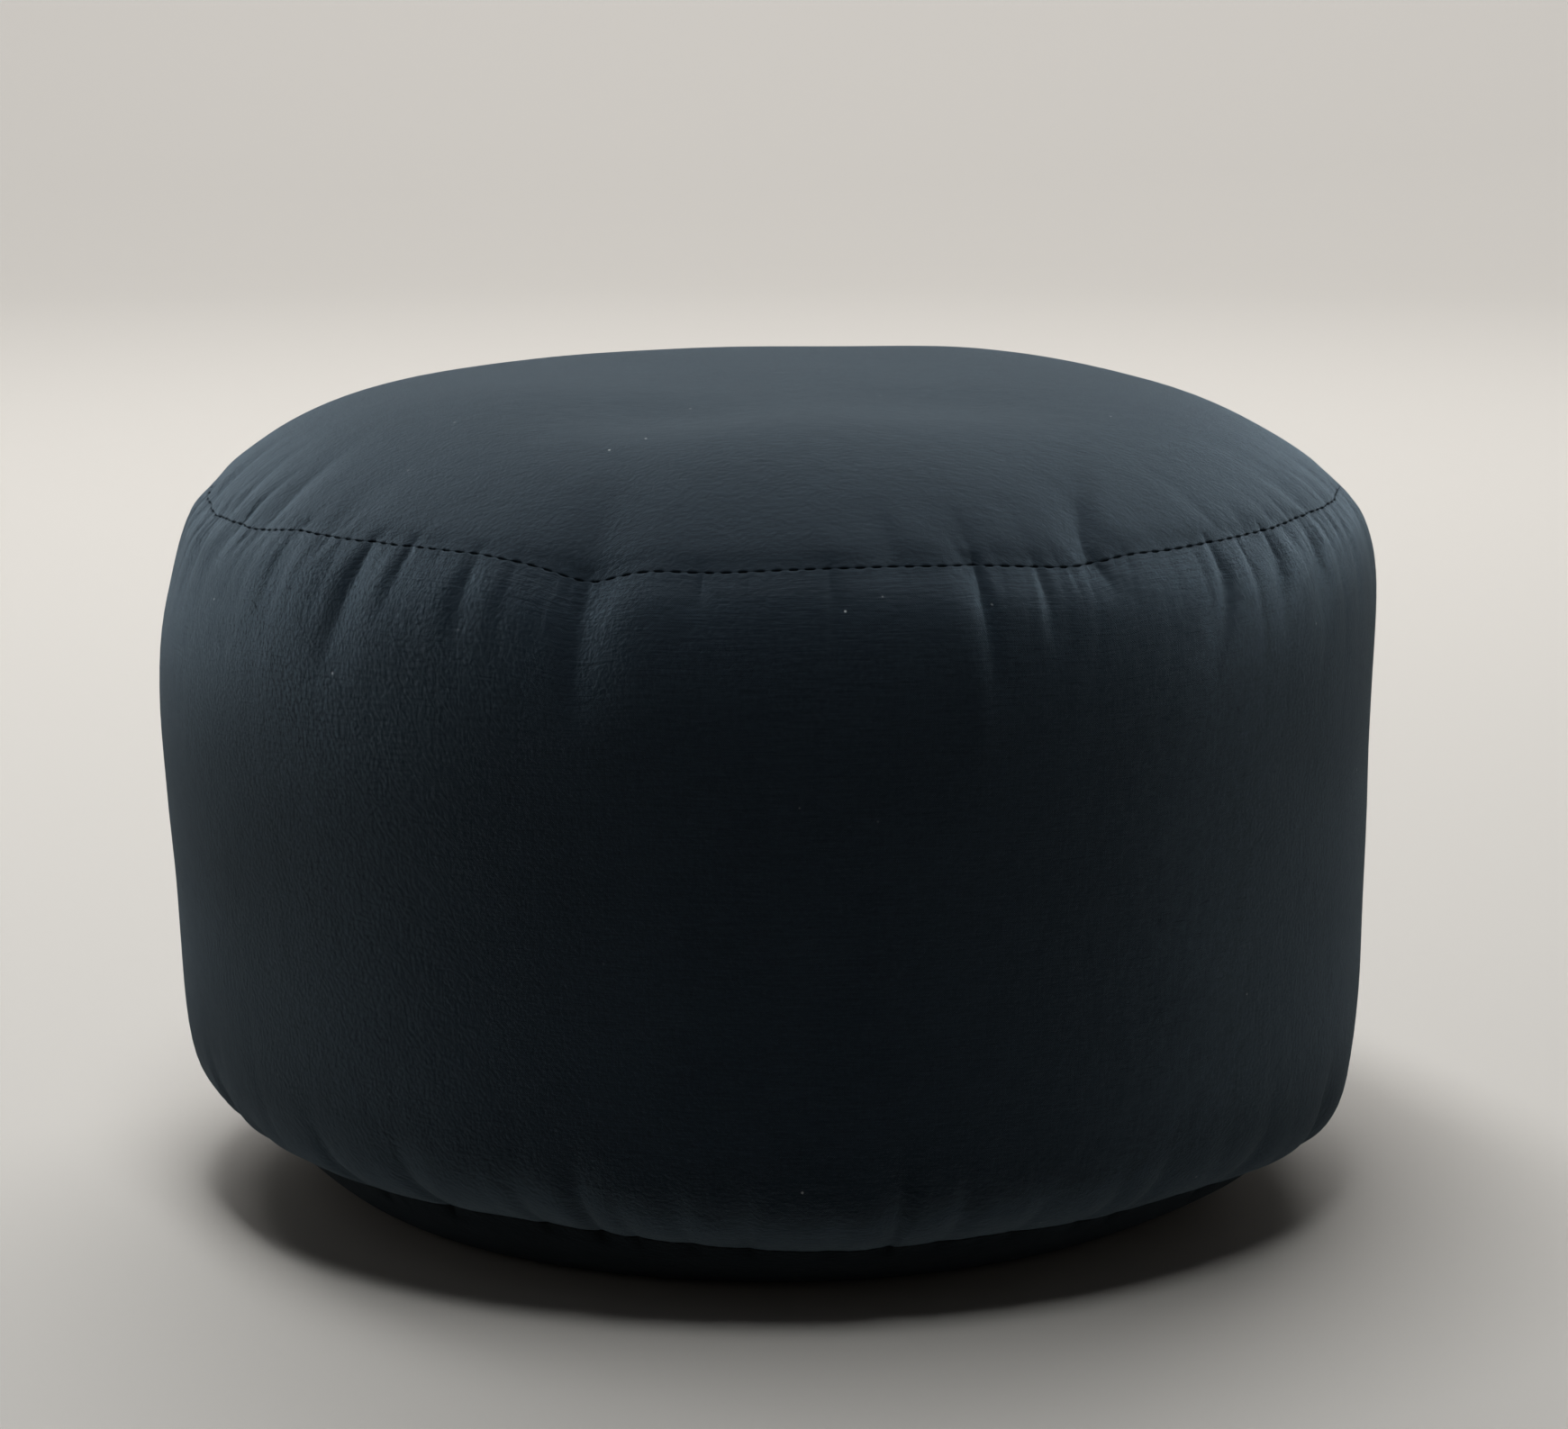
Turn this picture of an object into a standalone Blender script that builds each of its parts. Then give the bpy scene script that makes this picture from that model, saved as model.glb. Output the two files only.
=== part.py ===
# Zafu meditation cushion: a round top panel and a round base panel, sewn to a puckered side band.
#
# The side band is the one filled solid: the filling gives it the crown that the top panel lies on and
# the flat underside that the base panel covers. The two panels are sheets that meet it at the seams.
# Each piece is a turned profile whose points are then moved for the puckers, swells and sagging seams.
#
# Frame: metres, +Z up, floor at z = 0, origin under the middle of the cushion, front towards -Y.
# Azimuth is counted in degrees from the front, and grows towards +X.

import collections
import math
import random

import bpy

MM = 0.001

# Driving dimensions
BELLY_RADIUS = 0.150
TOP_SEAM_RADIUS = 0.1395
TOP_SEAM_HEIGHT = 0.1725
CROWN_RISE = 0.027
BASE_SEAM_RADIUS = 0.128
BASE_SEAM_HEIGHT = 0.0165
FOOT_RADIUS = 0.104
PANEL_THICKNESS = 0.002
SEAM_GAP = 0.0004

# How the turned form rounds over: the higher the power, the later and tighter the turn
CROWN_POWER = 5.0
SHOULDER_POWER = 7.0
WAIST = 0.0025
WAIST_TOP = 0.122
WAIST_BOTTOM = 0.043
ROUNDING_POWER = 9.0
BASE_POWER = 1.5

# Rows of points, closest together where the puckers are: shares of the top seam's radius from the
# middle out, of the band's height from the top seam down, and of the base's climb from its seam in
STEPS_ROUND = 180
CROWN_ROWS = (0.0, 0.40, 0.60, 0.74, 0.84, 0.91, 0.96)
BAND_ROWS = (0.0, 0.014, 0.042, 0.085, 0.14, 0.21, 0.33, 0.50, 0.66, 0.77, 0.86, 0.925, 0.97, 1.0)
CLIMB_ROWS = (0.82, 0.5, 0.22)

# A pucker is a trough that runs away from a seam. It is shallow at the stitches, deepest a little way
# off and gone at its reach. Its ridge stands on one side (1 towards +azimuth, -1 towards -azimuth) or,
# at 0, half on each. Its foot lies drift degrees round from its start.
Pucker = collections.namedtuple("Pucker", "azimuth depth_mm width_mm reach_mm ridge drift_deg", defaults=(0.0,))
SEAM_SHARE = 0.4
FULL_DEPTH_AT = 0.007
RIDGE_SHARE = 0.5

# Where a seam sags, or rises if its drop is negative
SeamDip = collections.namedtuple("SeamDip", "azimuth drop_mm draw_in_mm wide_deg")

# A broad bulge, or a hollow if its rise is negative
BandSwell = collections.namedtuple("BandSwell", "azimuth height_mm rise_mm wide_deg tall_mm")
CrownSwell = collections.namedtuple("CrownSwell", "x_mm y_mm rise_mm spread_mm")

# The stitches pull the cloth in all along both seams
GROOVE_DEPTH = 0.0008
GROOVE_REACH = 0.004

BAND_TOP_PUCKERS = (
    Pucker(azimuth=-85, depth_mm=1.2, width_mm=4.0, reach_mm=36, ridge=0),
    Pucker(azimuth=-71, depth_mm=1.6, width_mm=4.0, reach_mm=26, ridge=0),
    Pucker(azimuth=-64, depth_mm=1.0, width_mm=4.0, reach_mm=12, ridge=0),
    Pucker(azimuth=-51.5, depth_mm=1.5, width_mm=6.0, reach_mm=30, ridge=1, drift_deg=-2.0),
    Pucker(azimuth=-41, depth_mm=2.8, width_mm=5.5, reach_mm=36, ridge=1, drift_deg=-3.0),
    Pucker(azimuth=-35.5, depth_mm=2.4, width_mm=5.0, reach_mm=22, ridge=1, drift_deg=-1.2),
    Pucker(azimuth=-28.4, depth_mm=1.8, width_mm=6.0, reach_mm=32, ridge=1, drift_deg=0.8),
    Pucker(azimuth=-23.5, depth_mm=1.0, width_mm=6.0, reach_mm=31, ridge=0, drift_deg=-0.6),
    Pucker(azimuth=-17.4, depth_mm=3.0, width_mm=5.5, reach_mm=42, ridge=1, drift_deg=1.8),
    Pucker(azimuth=-6.6, depth_mm=0.8, width_mm=4.0, reach_mm=16, ridge=1),
    Pucker(azimuth=5.4, depth_mm=0.8, width_mm=4.0, reach_mm=38, ridge=1),
    Pucker(azimuth=19.8, depth_mm=3.0, width_mm=4.5, reach_mm=34, ridge=-1, drift_deg=-0.4),
    Pucker(azimuth=25.1, depth_mm=1.3, width_mm=4.0, reach_mm=26, ridge=0, drift_deg=-0.4),
    Pucker(azimuth=31.6, depth_mm=1.4, width_mm=4.0, reach_mm=11, ridge=0, drift_deg=1.5),
    Pucker(azimuth=46.1, depth_mm=1.8, width_mm=4.5, reach_mm=30, ridge=0, drift_deg=-5.6),
    Pucker(azimuth=52.3, depth_mm=1.2, width_mm=4.0, reach_mm=12, ridge=0, drift_deg=-5.0),
    Pucker(azimuth=55.4, depth_mm=1.7, width_mm=4.5, reach_mm=21, ridge=-1, drift_deg=-3.8),
    Pucker(azimuth=63.2, depth_mm=1.6, width_mm=4.5, reach_mm=27, ridge=0, drift_deg=-6.8),
    Pucker(azimuth=73.5, depth_mm=1.3, width_mm=4.0, reach_mm=34, ridge=0, drift_deg=-6.0),
    Pucker(azimuth=83, depth_mm=1.1, width_mm=4.0, reach_mm=36, ridge=0, drift_deg=-5.0),
)
CROWN_PUCKERS = (
    Pucker(azimuth=-80, depth_mm=1.1, width_mm=4.5, reach_mm=30, ridge=0),
    Pucker(azimuth=-69, depth_mm=1.2, width_mm=5.0, reach_mm=34, ridge=0),
    Pucker(azimuth=-58, depth_mm=1.3, width_mm=6.0, reach_mm=40, ridge=0),
    Pucker(azimuth=-46, depth_mm=0.8, width_mm=5.0, reach_mm=24, ridge=0),
    Pucker(azimuth=11.4, depth_mm=1.0, width_mm=5.5, reach_mm=26, ridge=-1),
    Pucker(azimuth=19.2, depth_mm=1.2, width_mm=5.0, reach_mm=22, ridge=-1, drift_deg=-1.0),
    Pucker(azimuth=32.0, depth_mm=2.1, width_mm=6.5, reach_mm=46, ridge=-1),
    Pucker(azimuth=52.5, depth_mm=0.8, width_mm=5.0, reach_mm=16, ridge=0, drift_deg=1.0),
    Pucker(azimuth=66, depth_mm=0.6, width_mm=5.0, reach_mm=18, ridge=0),
    Pucker(azimuth=79, depth_mm=0.6, width_mm=5.0, reach_mm=20, ridge=0),
)
BAND_BASE_PUCKERS = (
    Pucker(azimuth=-84, depth_mm=1.8, width_mm=5.0, reach_mm=30, ridge=1),
    Pucker(azimuth=-69, depth_mm=2.2, width_mm=5.5, reach_mm=30, ridge=1),
    Pucker(azimuth=-61.5, depth_mm=1.6, width_mm=4.5, reach_mm=16, ridge=0),
    Pucker(azimuth=-46.7, depth_mm=1.8, width_mm=5.0, reach_mm=22, ridge=1),
    Pucker(azimuth=-36, depth_mm=2.4, width_mm=5.0, reach_mm=20, ridge=1),
    Pucker(azimuth=-23.6, depth_mm=1.6, width_mm=4.5, reach_mm=16, ridge=1),
    Pucker(azimuth=-17.8, depth_mm=2.8, width_mm=5.0, reach_mm=26, ridge=1),
    Pucker(azimuth=-13.8, depth_mm=2.2, width_mm=4.0, reach_mm=13, ridge=1),
    Pucker(azimuth=-7.9, depth_mm=1.6, width_mm=5.0, reach_mm=20, ridge=0),
    Pucker(azimuth=-1.9, depth_mm=1.6, width_mm=5.0, reach_mm=22, ridge=-1),
    Pucker(azimuth=6.3, depth_mm=1.0, width_mm=4.0, reach_mm=10, ridge=0),
    Pucker(azimuth=12.4, depth_mm=2.4, width_mm=4.5, reach_mm=30, ridge=-1),
    Pucker(azimuth=17.8, depth_mm=1.5, width_mm=4.5, reach_mm=20, ridge=0),
    Pucker(azimuth=26, depth_mm=1.0, width_mm=4.0, reach_mm=14, ridge=0),
    Pucker(azimuth=34.3, depth_mm=1.3, width_mm=5.0, reach_mm=16, ridge=0),
    Pucker(azimuth=39, depth_mm=1.6, width_mm=5.0, reach_mm=20, ridge=0),
    Pucker(azimuth=53, depth_mm=1.3, width_mm=5.0, reach_mm=18, ridge=0),
    Pucker(azimuth=66, depth_mm=3.6, width_mm=5.5, reach_mm=32, ridge=1),
    Pucker(azimuth=78, depth_mm=1.2, width_mm=5.0, reach_mm=22, ridge=0),
)

TOP_SEAM_DIPS = (
    SeamDip(azimuth=-78, drop_mm=1.8, draw_in_mm=0.7, wide_deg=10),
    SeamDip(azimuth=-73, drop_mm=0.7, draw_in_mm=0.0, wide_deg=6),
    SeamDip(azimuth=-60, drop_mm=1.2, draw_in_mm=0.3, wide_deg=8),
    SeamDip(azimuth=-52, drop_mm=-1.2, draw_in_mm=0.0, wide_deg=6),
    SeamDip(azimuth=-38, drop_mm=-1.6, draw_in_mm=0.0, wide_deg=12),
    SeamDip(azimuth=-28, drop_mm=-0.7, draw_in_mm=0.0, wide_deg=6),
    SeamDip(azimuth=-16.8, drop_mm=3.5, draw_in_mm=0.0, wide_deg=5.5),
    SeamDip(azimuth=-11.8, drop_mm=-1.6, draw_in_mm=0.0, wide_deg=4),
    SeamDip(azimuth=-6, drop_mm=0.5, draw_in_mm=0.0, wide_deg=5),
    SeamDip(azimuth=10, drop_mm=-0.6, draw_in_mm=0.6, wide_deg=12),
    SeamDip(azimuth=31, drop_mm=1.9, draw_in_mm=0.0, wide_deg=8),
    SeamDip(azimuth=35, drop_mm=-1.2, draw_in_mm=0.0, wide_deg=4),
    SeamDip(azimuth=65, drop_mm=-0.6, draw_in_mm=0.0, wide_deg=7),
    SeamDip(azimuth=84, drop_mm=-0.7, draw_in_mm=-1.6, wide_deg=14),
    SeamDip(azimuth=128, drop_mm=1.8, draw_in_mm=0.4, wide_deg=9),
    SeamDip(azimuth=176, drop_mm=2.2, draw_in_mm=0.4, wide_deg=9),
    SeamDip(azimuth=222, drop_mm=1.6, draw_in_mm=0.4, wide_deg=9),
)
BASE_SEAM_DIPS = (
    SeamDip(azimuth=-62, drop_mm=0.0, draw_in_mm=2.2, wide_deg=22),
    SeamDip(azimuth=-28, drop_mm=-1.5, draw_in_mm=0.0, wide_deg=14),
    SeamDip(azimuth=8, drop_mm=2.2, draw_in_mm=0.0, wide_deg=16),
    SeamDip(azimuth=36, drop_mm=1.6, draw_in_mm=0.0, wide_deg=12),
    SeamDip(azimuth=68, drop_mm=3.4, draw_in_mm=-3.6, wide_deg=18),
    SeamDip(azimuth=120, drop_mm=2.0, draw_in_mm=1.5, wide_deg=20),
    SeamDip(azimuth=200, drop_mm=2.5, draw_in_mm=2.0, wide_deg=24),
    SeamDip(azimuth=245, drop_mm=1.0, draw_in_mm=0.5, wide_deg=16),
)
BAND_SWELLS = (
    BandSwell(azimuth=88, height_mm=120, rise_mm=-1.2, wide_deg=40, tall_mm=34),
    BandSwell(azimuth=-88, height_mm=156, rise_mm=-1.2, wide_deg=40, tall_mm=14),
    BandSwell(azimuth=-86, height_mm=122, rise_mm=1.4, wide_deg=40, tall_mm=24),
    BandSwell(azimuth=-60, height_mm=18, rise_mm=1.0, wide_deg=26, tall_mm=12),
    BandSwell(azimuth=80, height_mm=36, rise_mm=-1.6, wide_deg=24, tall_mm=14),
    BandSwell(azimuth=4, height_mm=148, rise_mm=-0.8, wide_deg=15, tall_mm=20),
    BandSwell(azimuth=-12, height_mm=142, rise_mm=0.5, wide_deg=5, tall_mm=24),
    BandSwell(azimuth=42, height_mm=124, rise_mm=0.8, wide_deg=16, tall_mm=30),
    BandSwell(azimuth=-40, height_mm=114, rise_mm=0.9, wide_deg=18, tall_mm=30),
    BandSwell(azimuth=150, height_mm=124, rise_mm=0.9, wide_deg=26, tall_mm=30),
    BandSwell(azimuth=205, height_mm=74, rise_mm=-1.2, wide_deg=24, tall_mm=34),
)
CROWN_SWELLS = (
    CrownSwell(x_mm=-62, y_mm=-38, rise_mm=1.6, spread_mm=34),
    CrownSwell(x_mm=-28, y_mm=-72, rise_mm=-2.4, spread_mm=24),
    CrownSwell(x_mm=28, y_mm=6, rise_mm=0.8, spread_mm=40),
    CrownSwell(x_mm=52, y_mm=-52, rise_mm=-1.2, spread_mm=24),
    CrownSwell(x_mm=-40, y_mm=70, rise_mm=-0.6, spread_mm=40),
    CrownSwell(x_mm=62, y_mm=62, rise_mm=1.6, spread_mm=34),
)

CLOTH_COLOUR = (0.016, 0.021, 0.027, 1.0)
CLOTH_ROUGHNESS = 0.88


def bell(distance, spread):
    return math.exp(-((distance / spread) ** 2))


def smooth(value):
    """0 below 0 and 1 above 1, with a soft run between them."""
    held = min(1.0, max(0.0, value))
    return held * held * (3.0 - 2.0 * held)


def turn_between(azimuth, other):
    """The signed angle from one azimuth to another, in degrees."""
    return (azimuth - other + 180.0) % 360.0 - 180.0


def back_puckers(seed, spacing_deg, depth_mm, reach_mm):
    """Puckers for the half that faces away: spaced by rule, and each a little unlike the next."""
    draw = random.Random(seed)
    return tuple(
        Pucker(
            azimuth=azimuth + draw.uniform(-0.25, 0.25) * spacing_deg,
            depth_mm=depth_mm * draw.uniform(0.6, 1.4),
            width_mm=draw.uniform(4.5, 6.0),
            reach_mm=reach_mm * draw.uniform(0.6, 1.4),
            ridge=draw.choice((-1, 0, 1)),
        )
        for azimuth in range(90, 270, spacing_deg)
    )


TOP_PUCKERS = BAND_TOP_PUCKERS + back_puckers(seed=4, spacing_deg=9, depth_mm=1.7, reach_mm=26)
PANEL_PUCKERS = CROWN_PUCKERS + back_puckers(seed=7, spacing_deg=16, depth_mm=1.1, reach_mm=28)
BASE_PUCKERS = BAND_BASE_PUCKERS + back_puckers(seed=9, spacing_deg=10, depth_mm=1.8, reach_mm=26)


def pucker_push(puckers, azimuth, radius, from_seam):
    """How far the puckers draw the cloth in, at a signed distance from their seam along the cloth."""
    push = 0.0
    for pucker in puckers:
        reach = pucker.reach_mm * MM if from_seam > 0.0 else FULL_DEPTH_AT
        run = min(1.0, max(0.0, from_seam / reach))
        middle = pucker.azimuth + pucker.drift_deg * run**1.5
        across = math.radians(turn_between(azimuth, middle)) * radius / (pucker.width_mm * MM)
        if abs(from_seam) >= reach or abs(across) > 4.0:
            continue
        grown = SEAM_SHARE + (1.0 - SEAM_SHARE) * smooth(from_seam / FULL_DEPTH_AT)
        along = grown * (1.0 - smooth(abs(from_seam) / reach))
        ridges = bell(across + 1.5, 0.9) * (1 - pucker.ridge) + bell(across - 1.5, 0.9) * (1 + pucker.ridge)
        push += pucker.depth_mm * MM * along * (bell(across, 1.0) - RIDGE_SHARE * ridges / 2.0)
    return push


def seam_groove(from_seam):
    return GROOVE_DEPTH * bell(from_seam, GROOVE_REACH)


def seam_shift(dips, azimuth):
    """(how far up, how far in) a seam stands from its level circle."""
    up = -sum(dip.drop_mm * bell(turn_between(azimuth, dip.azimuth), dip.wide_deg) for dip in dips)
    inwards = sum(dip.draw_in_mm * bell(turn_between(azimuth, dip.azimuth), dip.wide_deg) for dip in dips)
    return up * MM, inwards * MM


def band_swell(azimuth, height):
    return MM * sum(
        swell.rise_mm
        * bell(turn_between(azimuth, swell.azimuth), swell.wide_deg)
        * bell(height - swell.height_mm * MM, swell.tall_mm * MM)
        for swell in BAND_SWELLS
    )


def crown_swell(x, y):
    return MM * sum(
        swell.rise_mm * bell(math.hypot(x - swell.x_mm * MM, y - swell.y_mm * MM), swell.spread_mm * MM)
        for swell in CROWN_SWELLS
    )


def crown_surface(radius):
    """(height, slope) of the top panel's outer face on the turned form."""
    share = radius / TOP_SEAM_RADIUS
    height = TOP_SEAM_HEIGHT + CROWN_RISE * (1.0 - share**CROWN_POWER)
    return height, CROWN_RISE * CROWN_POWER / TOP_SEAM_RADIUS * share ** (CROWN_POWER - 1.0)


def base_surface(radius):
    """(height, slope) of the base panel's outer face: a flat foot with a rim that climbs to the seam."""
    width = BASE_SEAM_RADIUS - FOOT_RADIUS
    climb = max(0.0, radius - FOOT_RADIUS) / width
    return BASE_SEAM_HEIGHT * climb**BASE_POWER, BASE_SEAM_HEIGHT * BASE_POWER / width * climb**0.5


def crown_rows(depth, rim_lift):
    """(radius, height) from the middle to the rim, this deep under the top panel's outer face."""
    rows = []
    for share in CROWN_ROWS:
        radius = TOP_SEAM_RADIUS * share
        height, slope = crown_surface(radius)
        rows.append((radius, height - depth * math.hypot(1.0, slope)))
    _, slope = crown_surface(TOP_SEAM_RADIUS)
    rim = TOP_SEAM_RADIUS - depth * math.hypot(1.0, slope) / slope
    kept = [row for row in rows if row[0] < rim - 2.0 * MM]
    return kept + [(rim, TOP_SEAM_HEIGHT + rim_lift)]


def base_rows(depth, rim_lift):
    """(radius, height) from the rim to the middle, this deep inside the base panel's outer face."""
    width = BASE_SEAM_RADIUS - FOOT_RADIUS
    _, slope = base_surface(BASE_SEAM_RADIUS)
    rim = BASE_SEAM_RADIUS - depth * math.hypot(1.0, slope) / slope
    rows = [(rim, BASE_SEAM_HEIGHT + rim_lift)]
    for share in CLIMB_ROWS:
        radius = FOOT_RADIUS + width * share
        height, slope = base_surface(radius)
        if radius < rim - 2.0 * MM:
            rows.append((radius, height + depth * math.hypot(1.0, slope)))
    return rows + [(FOOT_RADIUS, depth), (FOOT_RADIUS * 0.5, depth), (0.0, depth)]


def band_rows():
    """(radius, height) down the side band, from one seam to the other."""
    rows = []
    top, bottom = TOP_SEAM_HEIGHT - SEAM_GAP / 2.0, BASE_SEAM_HEIGHT + SEAM_GAP / 2.0
    for share in BAND_ROWS:
        height = top + (bottom - top) * share
        radius = BELLY_RADIUS
        radius -= (BELLY_RADIUS - TOP_SEAM_RADIUS) * max(0.0, 1.0 - 2.0 * share) ** SHOULDER_POWER
        radius -= WAIST * smooth((WAIST_TOP - height) / (WAIST_TOP - WAIST_BOTTOM))
        rounding = BELLY_RADIUS - WAIST - BASE_SEAM_RADIUS
        radius -= rounding * max(0.0, 2.0 * share - 1.0) ** ROUNDING_POWER
        rows.append((radius, height))
    return rows


def shape_crown_point(point, azimuth, radius):
    """Moves a point of the top panel, or of the filling under it."""
    share = min(1.0, radius / TOP_SEAM_RADIUS)
    _, slope = crown_surface(radius)
    up, inwards = seam_shift(TOP_SEAM_DIPS, azimuth)
    from_seam = (radius - TOP_SEAM_RADIUS) * 1.2
    push = pucker_push(TOP_PUCKERS, azimuth, TOP_SEAM_RADIUS, from_seam)
    push += pucker_push(PANEL_PUCKERS, azimuth, TOP_SEAM_RADIUS, -from_seam)
    push += seam_groove(from_seam)
    tied, tilt = share**24, math.atan(slope)
    drawn_in = inwards * share**3 + push * (math.sin(tilt) * (1.0 - tied) + tied)
    height = point.z + up * share**3 + crown_swell(point.x, point.y) * (1.0 - share**8)
    place(point, azimuth, radius - drawn_in, height - push * math.cos(tilt) * (1.0 - tied))


def shape_band_point(point, azimuth, radius):
    """Moves a point of the side band between the seams."""
    from_top, from_base = TOP_SEAM_HEIGHT - point.z, point.z - BASE_SEAM_HEIGHT
    share_up = from_base / (from_top + from_base)
    near_top, near_base = smooth(2.0 * share_up - 1.0) ** 2, smooth(1.0 - 2.0 * share_up) ** 2
    top_up, top_in = seam_shift(TOP_SEAM_DIPS, azimuth)
    base_up, base_in = seam_shift(BASE_SEAM_DIPS, azimuth)
    drawn_in = pucker_push(TOP_PUCKERS, azimuth, radius, from_top)
    drawn_in += pucker_push(PANEL_PUCKERS, azimuth, radius, -from_top)
    drawn_in += pucker_push(BASE_PUCKERS, azimuth, radius, from_base)
    drawn_in += seam_groove(from_top) + seam_groove(from_base)
    drawn_in += top_in * near_top + base_in * near_base
    drawn_in -= band_swell(azimuth, point.z) * smooth(from_top / 0.01) * smooth(from_base / 0.01)
    place(point, azimuth, radius - drawn_in, point.z + top_up * near_top + base_up * near_base)


def shape_base_point(point, azimuth, radius):
    """Moves a point of the base panel, or of the filling over it. The foot itself stays flat."""
    climb = min(1.0, max(0.0, radius - FOOT_RADIUS) / (BASE_SEAM_RADIUS - FOOT_RADIUS))
    up, inwards = seam_shift(BASE_SEAM_DIPS, azimuth)
    from_seam = radius - BASE_SEAM_RADIUS
    push = pucker_push(BASE_PUCKERS, azimuth, BASE_SEAM_RADIUS, from_seam) + seam_groove(from_seam)
    lift = up * climb**BASE_POWER
    place(point, azimuth, radius - inwards * climb - push * climb, point.z + lift)


def place(point, azimuth, radius, height):
    turned = math.radians(azimuth)
    point.xyz = (radius * math.sin(turned), -radius * math.cos(turned), height)


SHAPERS = {"crown": shape_crown_point, "band": shape_band_point, "base": shape_base_point}
ZONES = tuple(SHAPERS)


def turned_mesh(name, profile):
    """A profile of (zone, radius, height), turned about the upright axis into one closed mesh."""
    line = bpy.data.meshes.new(name + "_profile")
    corners = [(radius, 0.0, height) for _, radius, height in profile]
    line.from_pydata(corners, [(i, i + 1) for i in range(len(corners) - 1)], [])
    zones = line.attributes.new("zone", "INT", "POINT")
    for entry, (zone, _, _) in zip(zones.data, profile):
        entry.value = ZONES.index(zone)
    lathe = bpy.data.objects.new(name + "_lathe", line)
    bpy.context.scene.collection.objects.link(lathe)
    screw = lathe.modifiers.new("Turn", "SCREW")
    screw.axis = "Z"
    screw.angle = math.tau
    screw.steps = screw.render_steps = STEPS_ROUND
    screw.use_merge_vertices = True
    screw.merge_threshold = 0.0001
    mesh = bpy.data.meshes.new_from_object(lathe.evaluated_get(bpy.context.evaluated_depsgraph_get()))
    bpy.data.objects.remove(lathe)
    bpy.data.meshes.remove(line)
    return mesh


def cloth_material(name):
    material = bpy.data.materials.new(name + "_cloth")
    material.use_nodes = True
    shader = material.node_tree.nodes["Principled BSDF"]
    shader.inputs["Base Color"].default_value = CLOTH_COLOUR
    shader.inputs["Roughness"].default_value = CLOTH_ROUGHNESS
    shader.inputs["Metallic"].default_value = 0.0
    return material


def add_piece(name, profile, collection, cushion):
    mesh = turned_mesh(name, profile)
    for point, entry in zip(mesh.vertices, mesh.attributes["zone"].data):
        azimuth = math.degrees(math.atan2(point.co.x, -point.co.y))
        radius = math.hypot(point.co.x, point.co.y)
        SHAPERS[ZONES[entry.value]](point.co, azimuth, radius)
    mesh.name = name
    mesh.materials.append(cloth_material(name))
    mesh.shade_smooth()
    mesh.set_sharp_from_angle(angle=math.radians(60.0))
    piece = bpy.data.objects.new(name, mesh)
    piece.parent = cushion
    collection.objects.link(piece)
    return piece


def zoned(zone, rows):
    return [(zone, radius, height) for radius, height in rows]


def centre_on_origin(cushion, pieces):
    """Slides the cushion so that the box round it stands over the origin."""
    points = [vertex.co for piece in pieces for vertex in piece.data.vertices]
    for axis in (0, 1):
        values = [point[axis] for point in points]
        cushion.location[axis] = -(min(values) + max(values)) / 2.0


def build():
    for thing in list(bpy.data.objects):
        bpy.data.objects.remove(thing)
    collection = bpy.data.collections.new("zafu_cushion")
    bpy.context.scene.collection.children.link(collection)
    cushion = bpy.data.objects.new("zafu_cushion", None)
    collection.objects.link(cushion)

    half_gap = SEAM_GAP / 2.0
    filled = PANEL_THICKNESS + SEAM_GAP
    body = zoned("crown", crown_rows(filled, -half_gap))
    body += zoned("band", band_rows())
    body += zoned("base", base_rows(filled, half_gap))
    top = zoned("crown", crown_rows(0.0, half_gap))
    top += zoned("crown", reversed(crown_rows(PANEL_THICKNESS, half_gap)))
    base = zoned("base", reversed(base_rows(PANEL_THICKNESS, -half_gap)))
    base += zoned("base", base_rows(0.0, -half_gap))
    pieces = [
        add_piece("side_band", body, collection, cushion),
        add_piece("top_panel", top, collection, cushion),
        add_piece("base_panel", base, collection, cushion),
    ]
    centre_on_origin(cushion, pieces)


build()
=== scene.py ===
import math
import random

import bpy
import numpy as np
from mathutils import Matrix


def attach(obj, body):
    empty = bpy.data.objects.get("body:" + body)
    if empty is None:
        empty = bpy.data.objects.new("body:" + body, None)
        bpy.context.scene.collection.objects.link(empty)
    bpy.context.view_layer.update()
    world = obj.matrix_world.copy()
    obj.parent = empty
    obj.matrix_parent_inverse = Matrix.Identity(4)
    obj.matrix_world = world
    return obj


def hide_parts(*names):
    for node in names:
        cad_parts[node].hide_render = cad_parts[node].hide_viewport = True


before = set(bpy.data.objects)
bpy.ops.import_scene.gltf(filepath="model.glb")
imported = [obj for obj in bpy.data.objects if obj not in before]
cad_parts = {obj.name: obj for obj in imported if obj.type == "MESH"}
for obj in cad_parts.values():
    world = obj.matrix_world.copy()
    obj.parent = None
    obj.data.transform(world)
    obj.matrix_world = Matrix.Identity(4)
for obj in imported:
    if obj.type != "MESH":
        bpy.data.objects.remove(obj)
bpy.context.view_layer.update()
mm = 0.001
perMetre = 1.0 / mm

# the turned form, before anything puckers it
form = {
    "bellyRadius": 0.150,
    "topSeamRadius": 0.1395,
    "topSeamHeight": 0.1725,
    "crownRise": 0.027,
    "baseSeamRadius": 0.128,
    "baseSeamHeight": 0.0165,
    "footRadius": 0.104,
    "waist": 0.0025,
    "waistTop": 0.122,
    "waistBottom": 0.043,
    "crownPower": 5.0,
    "shoulderPower": 7.0,
    "roundingPower": 9.0,
    "basePower": 1.5,
    "sheetThickness": 0.0020,
    "fillingGap": 0.0024,
}

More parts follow.
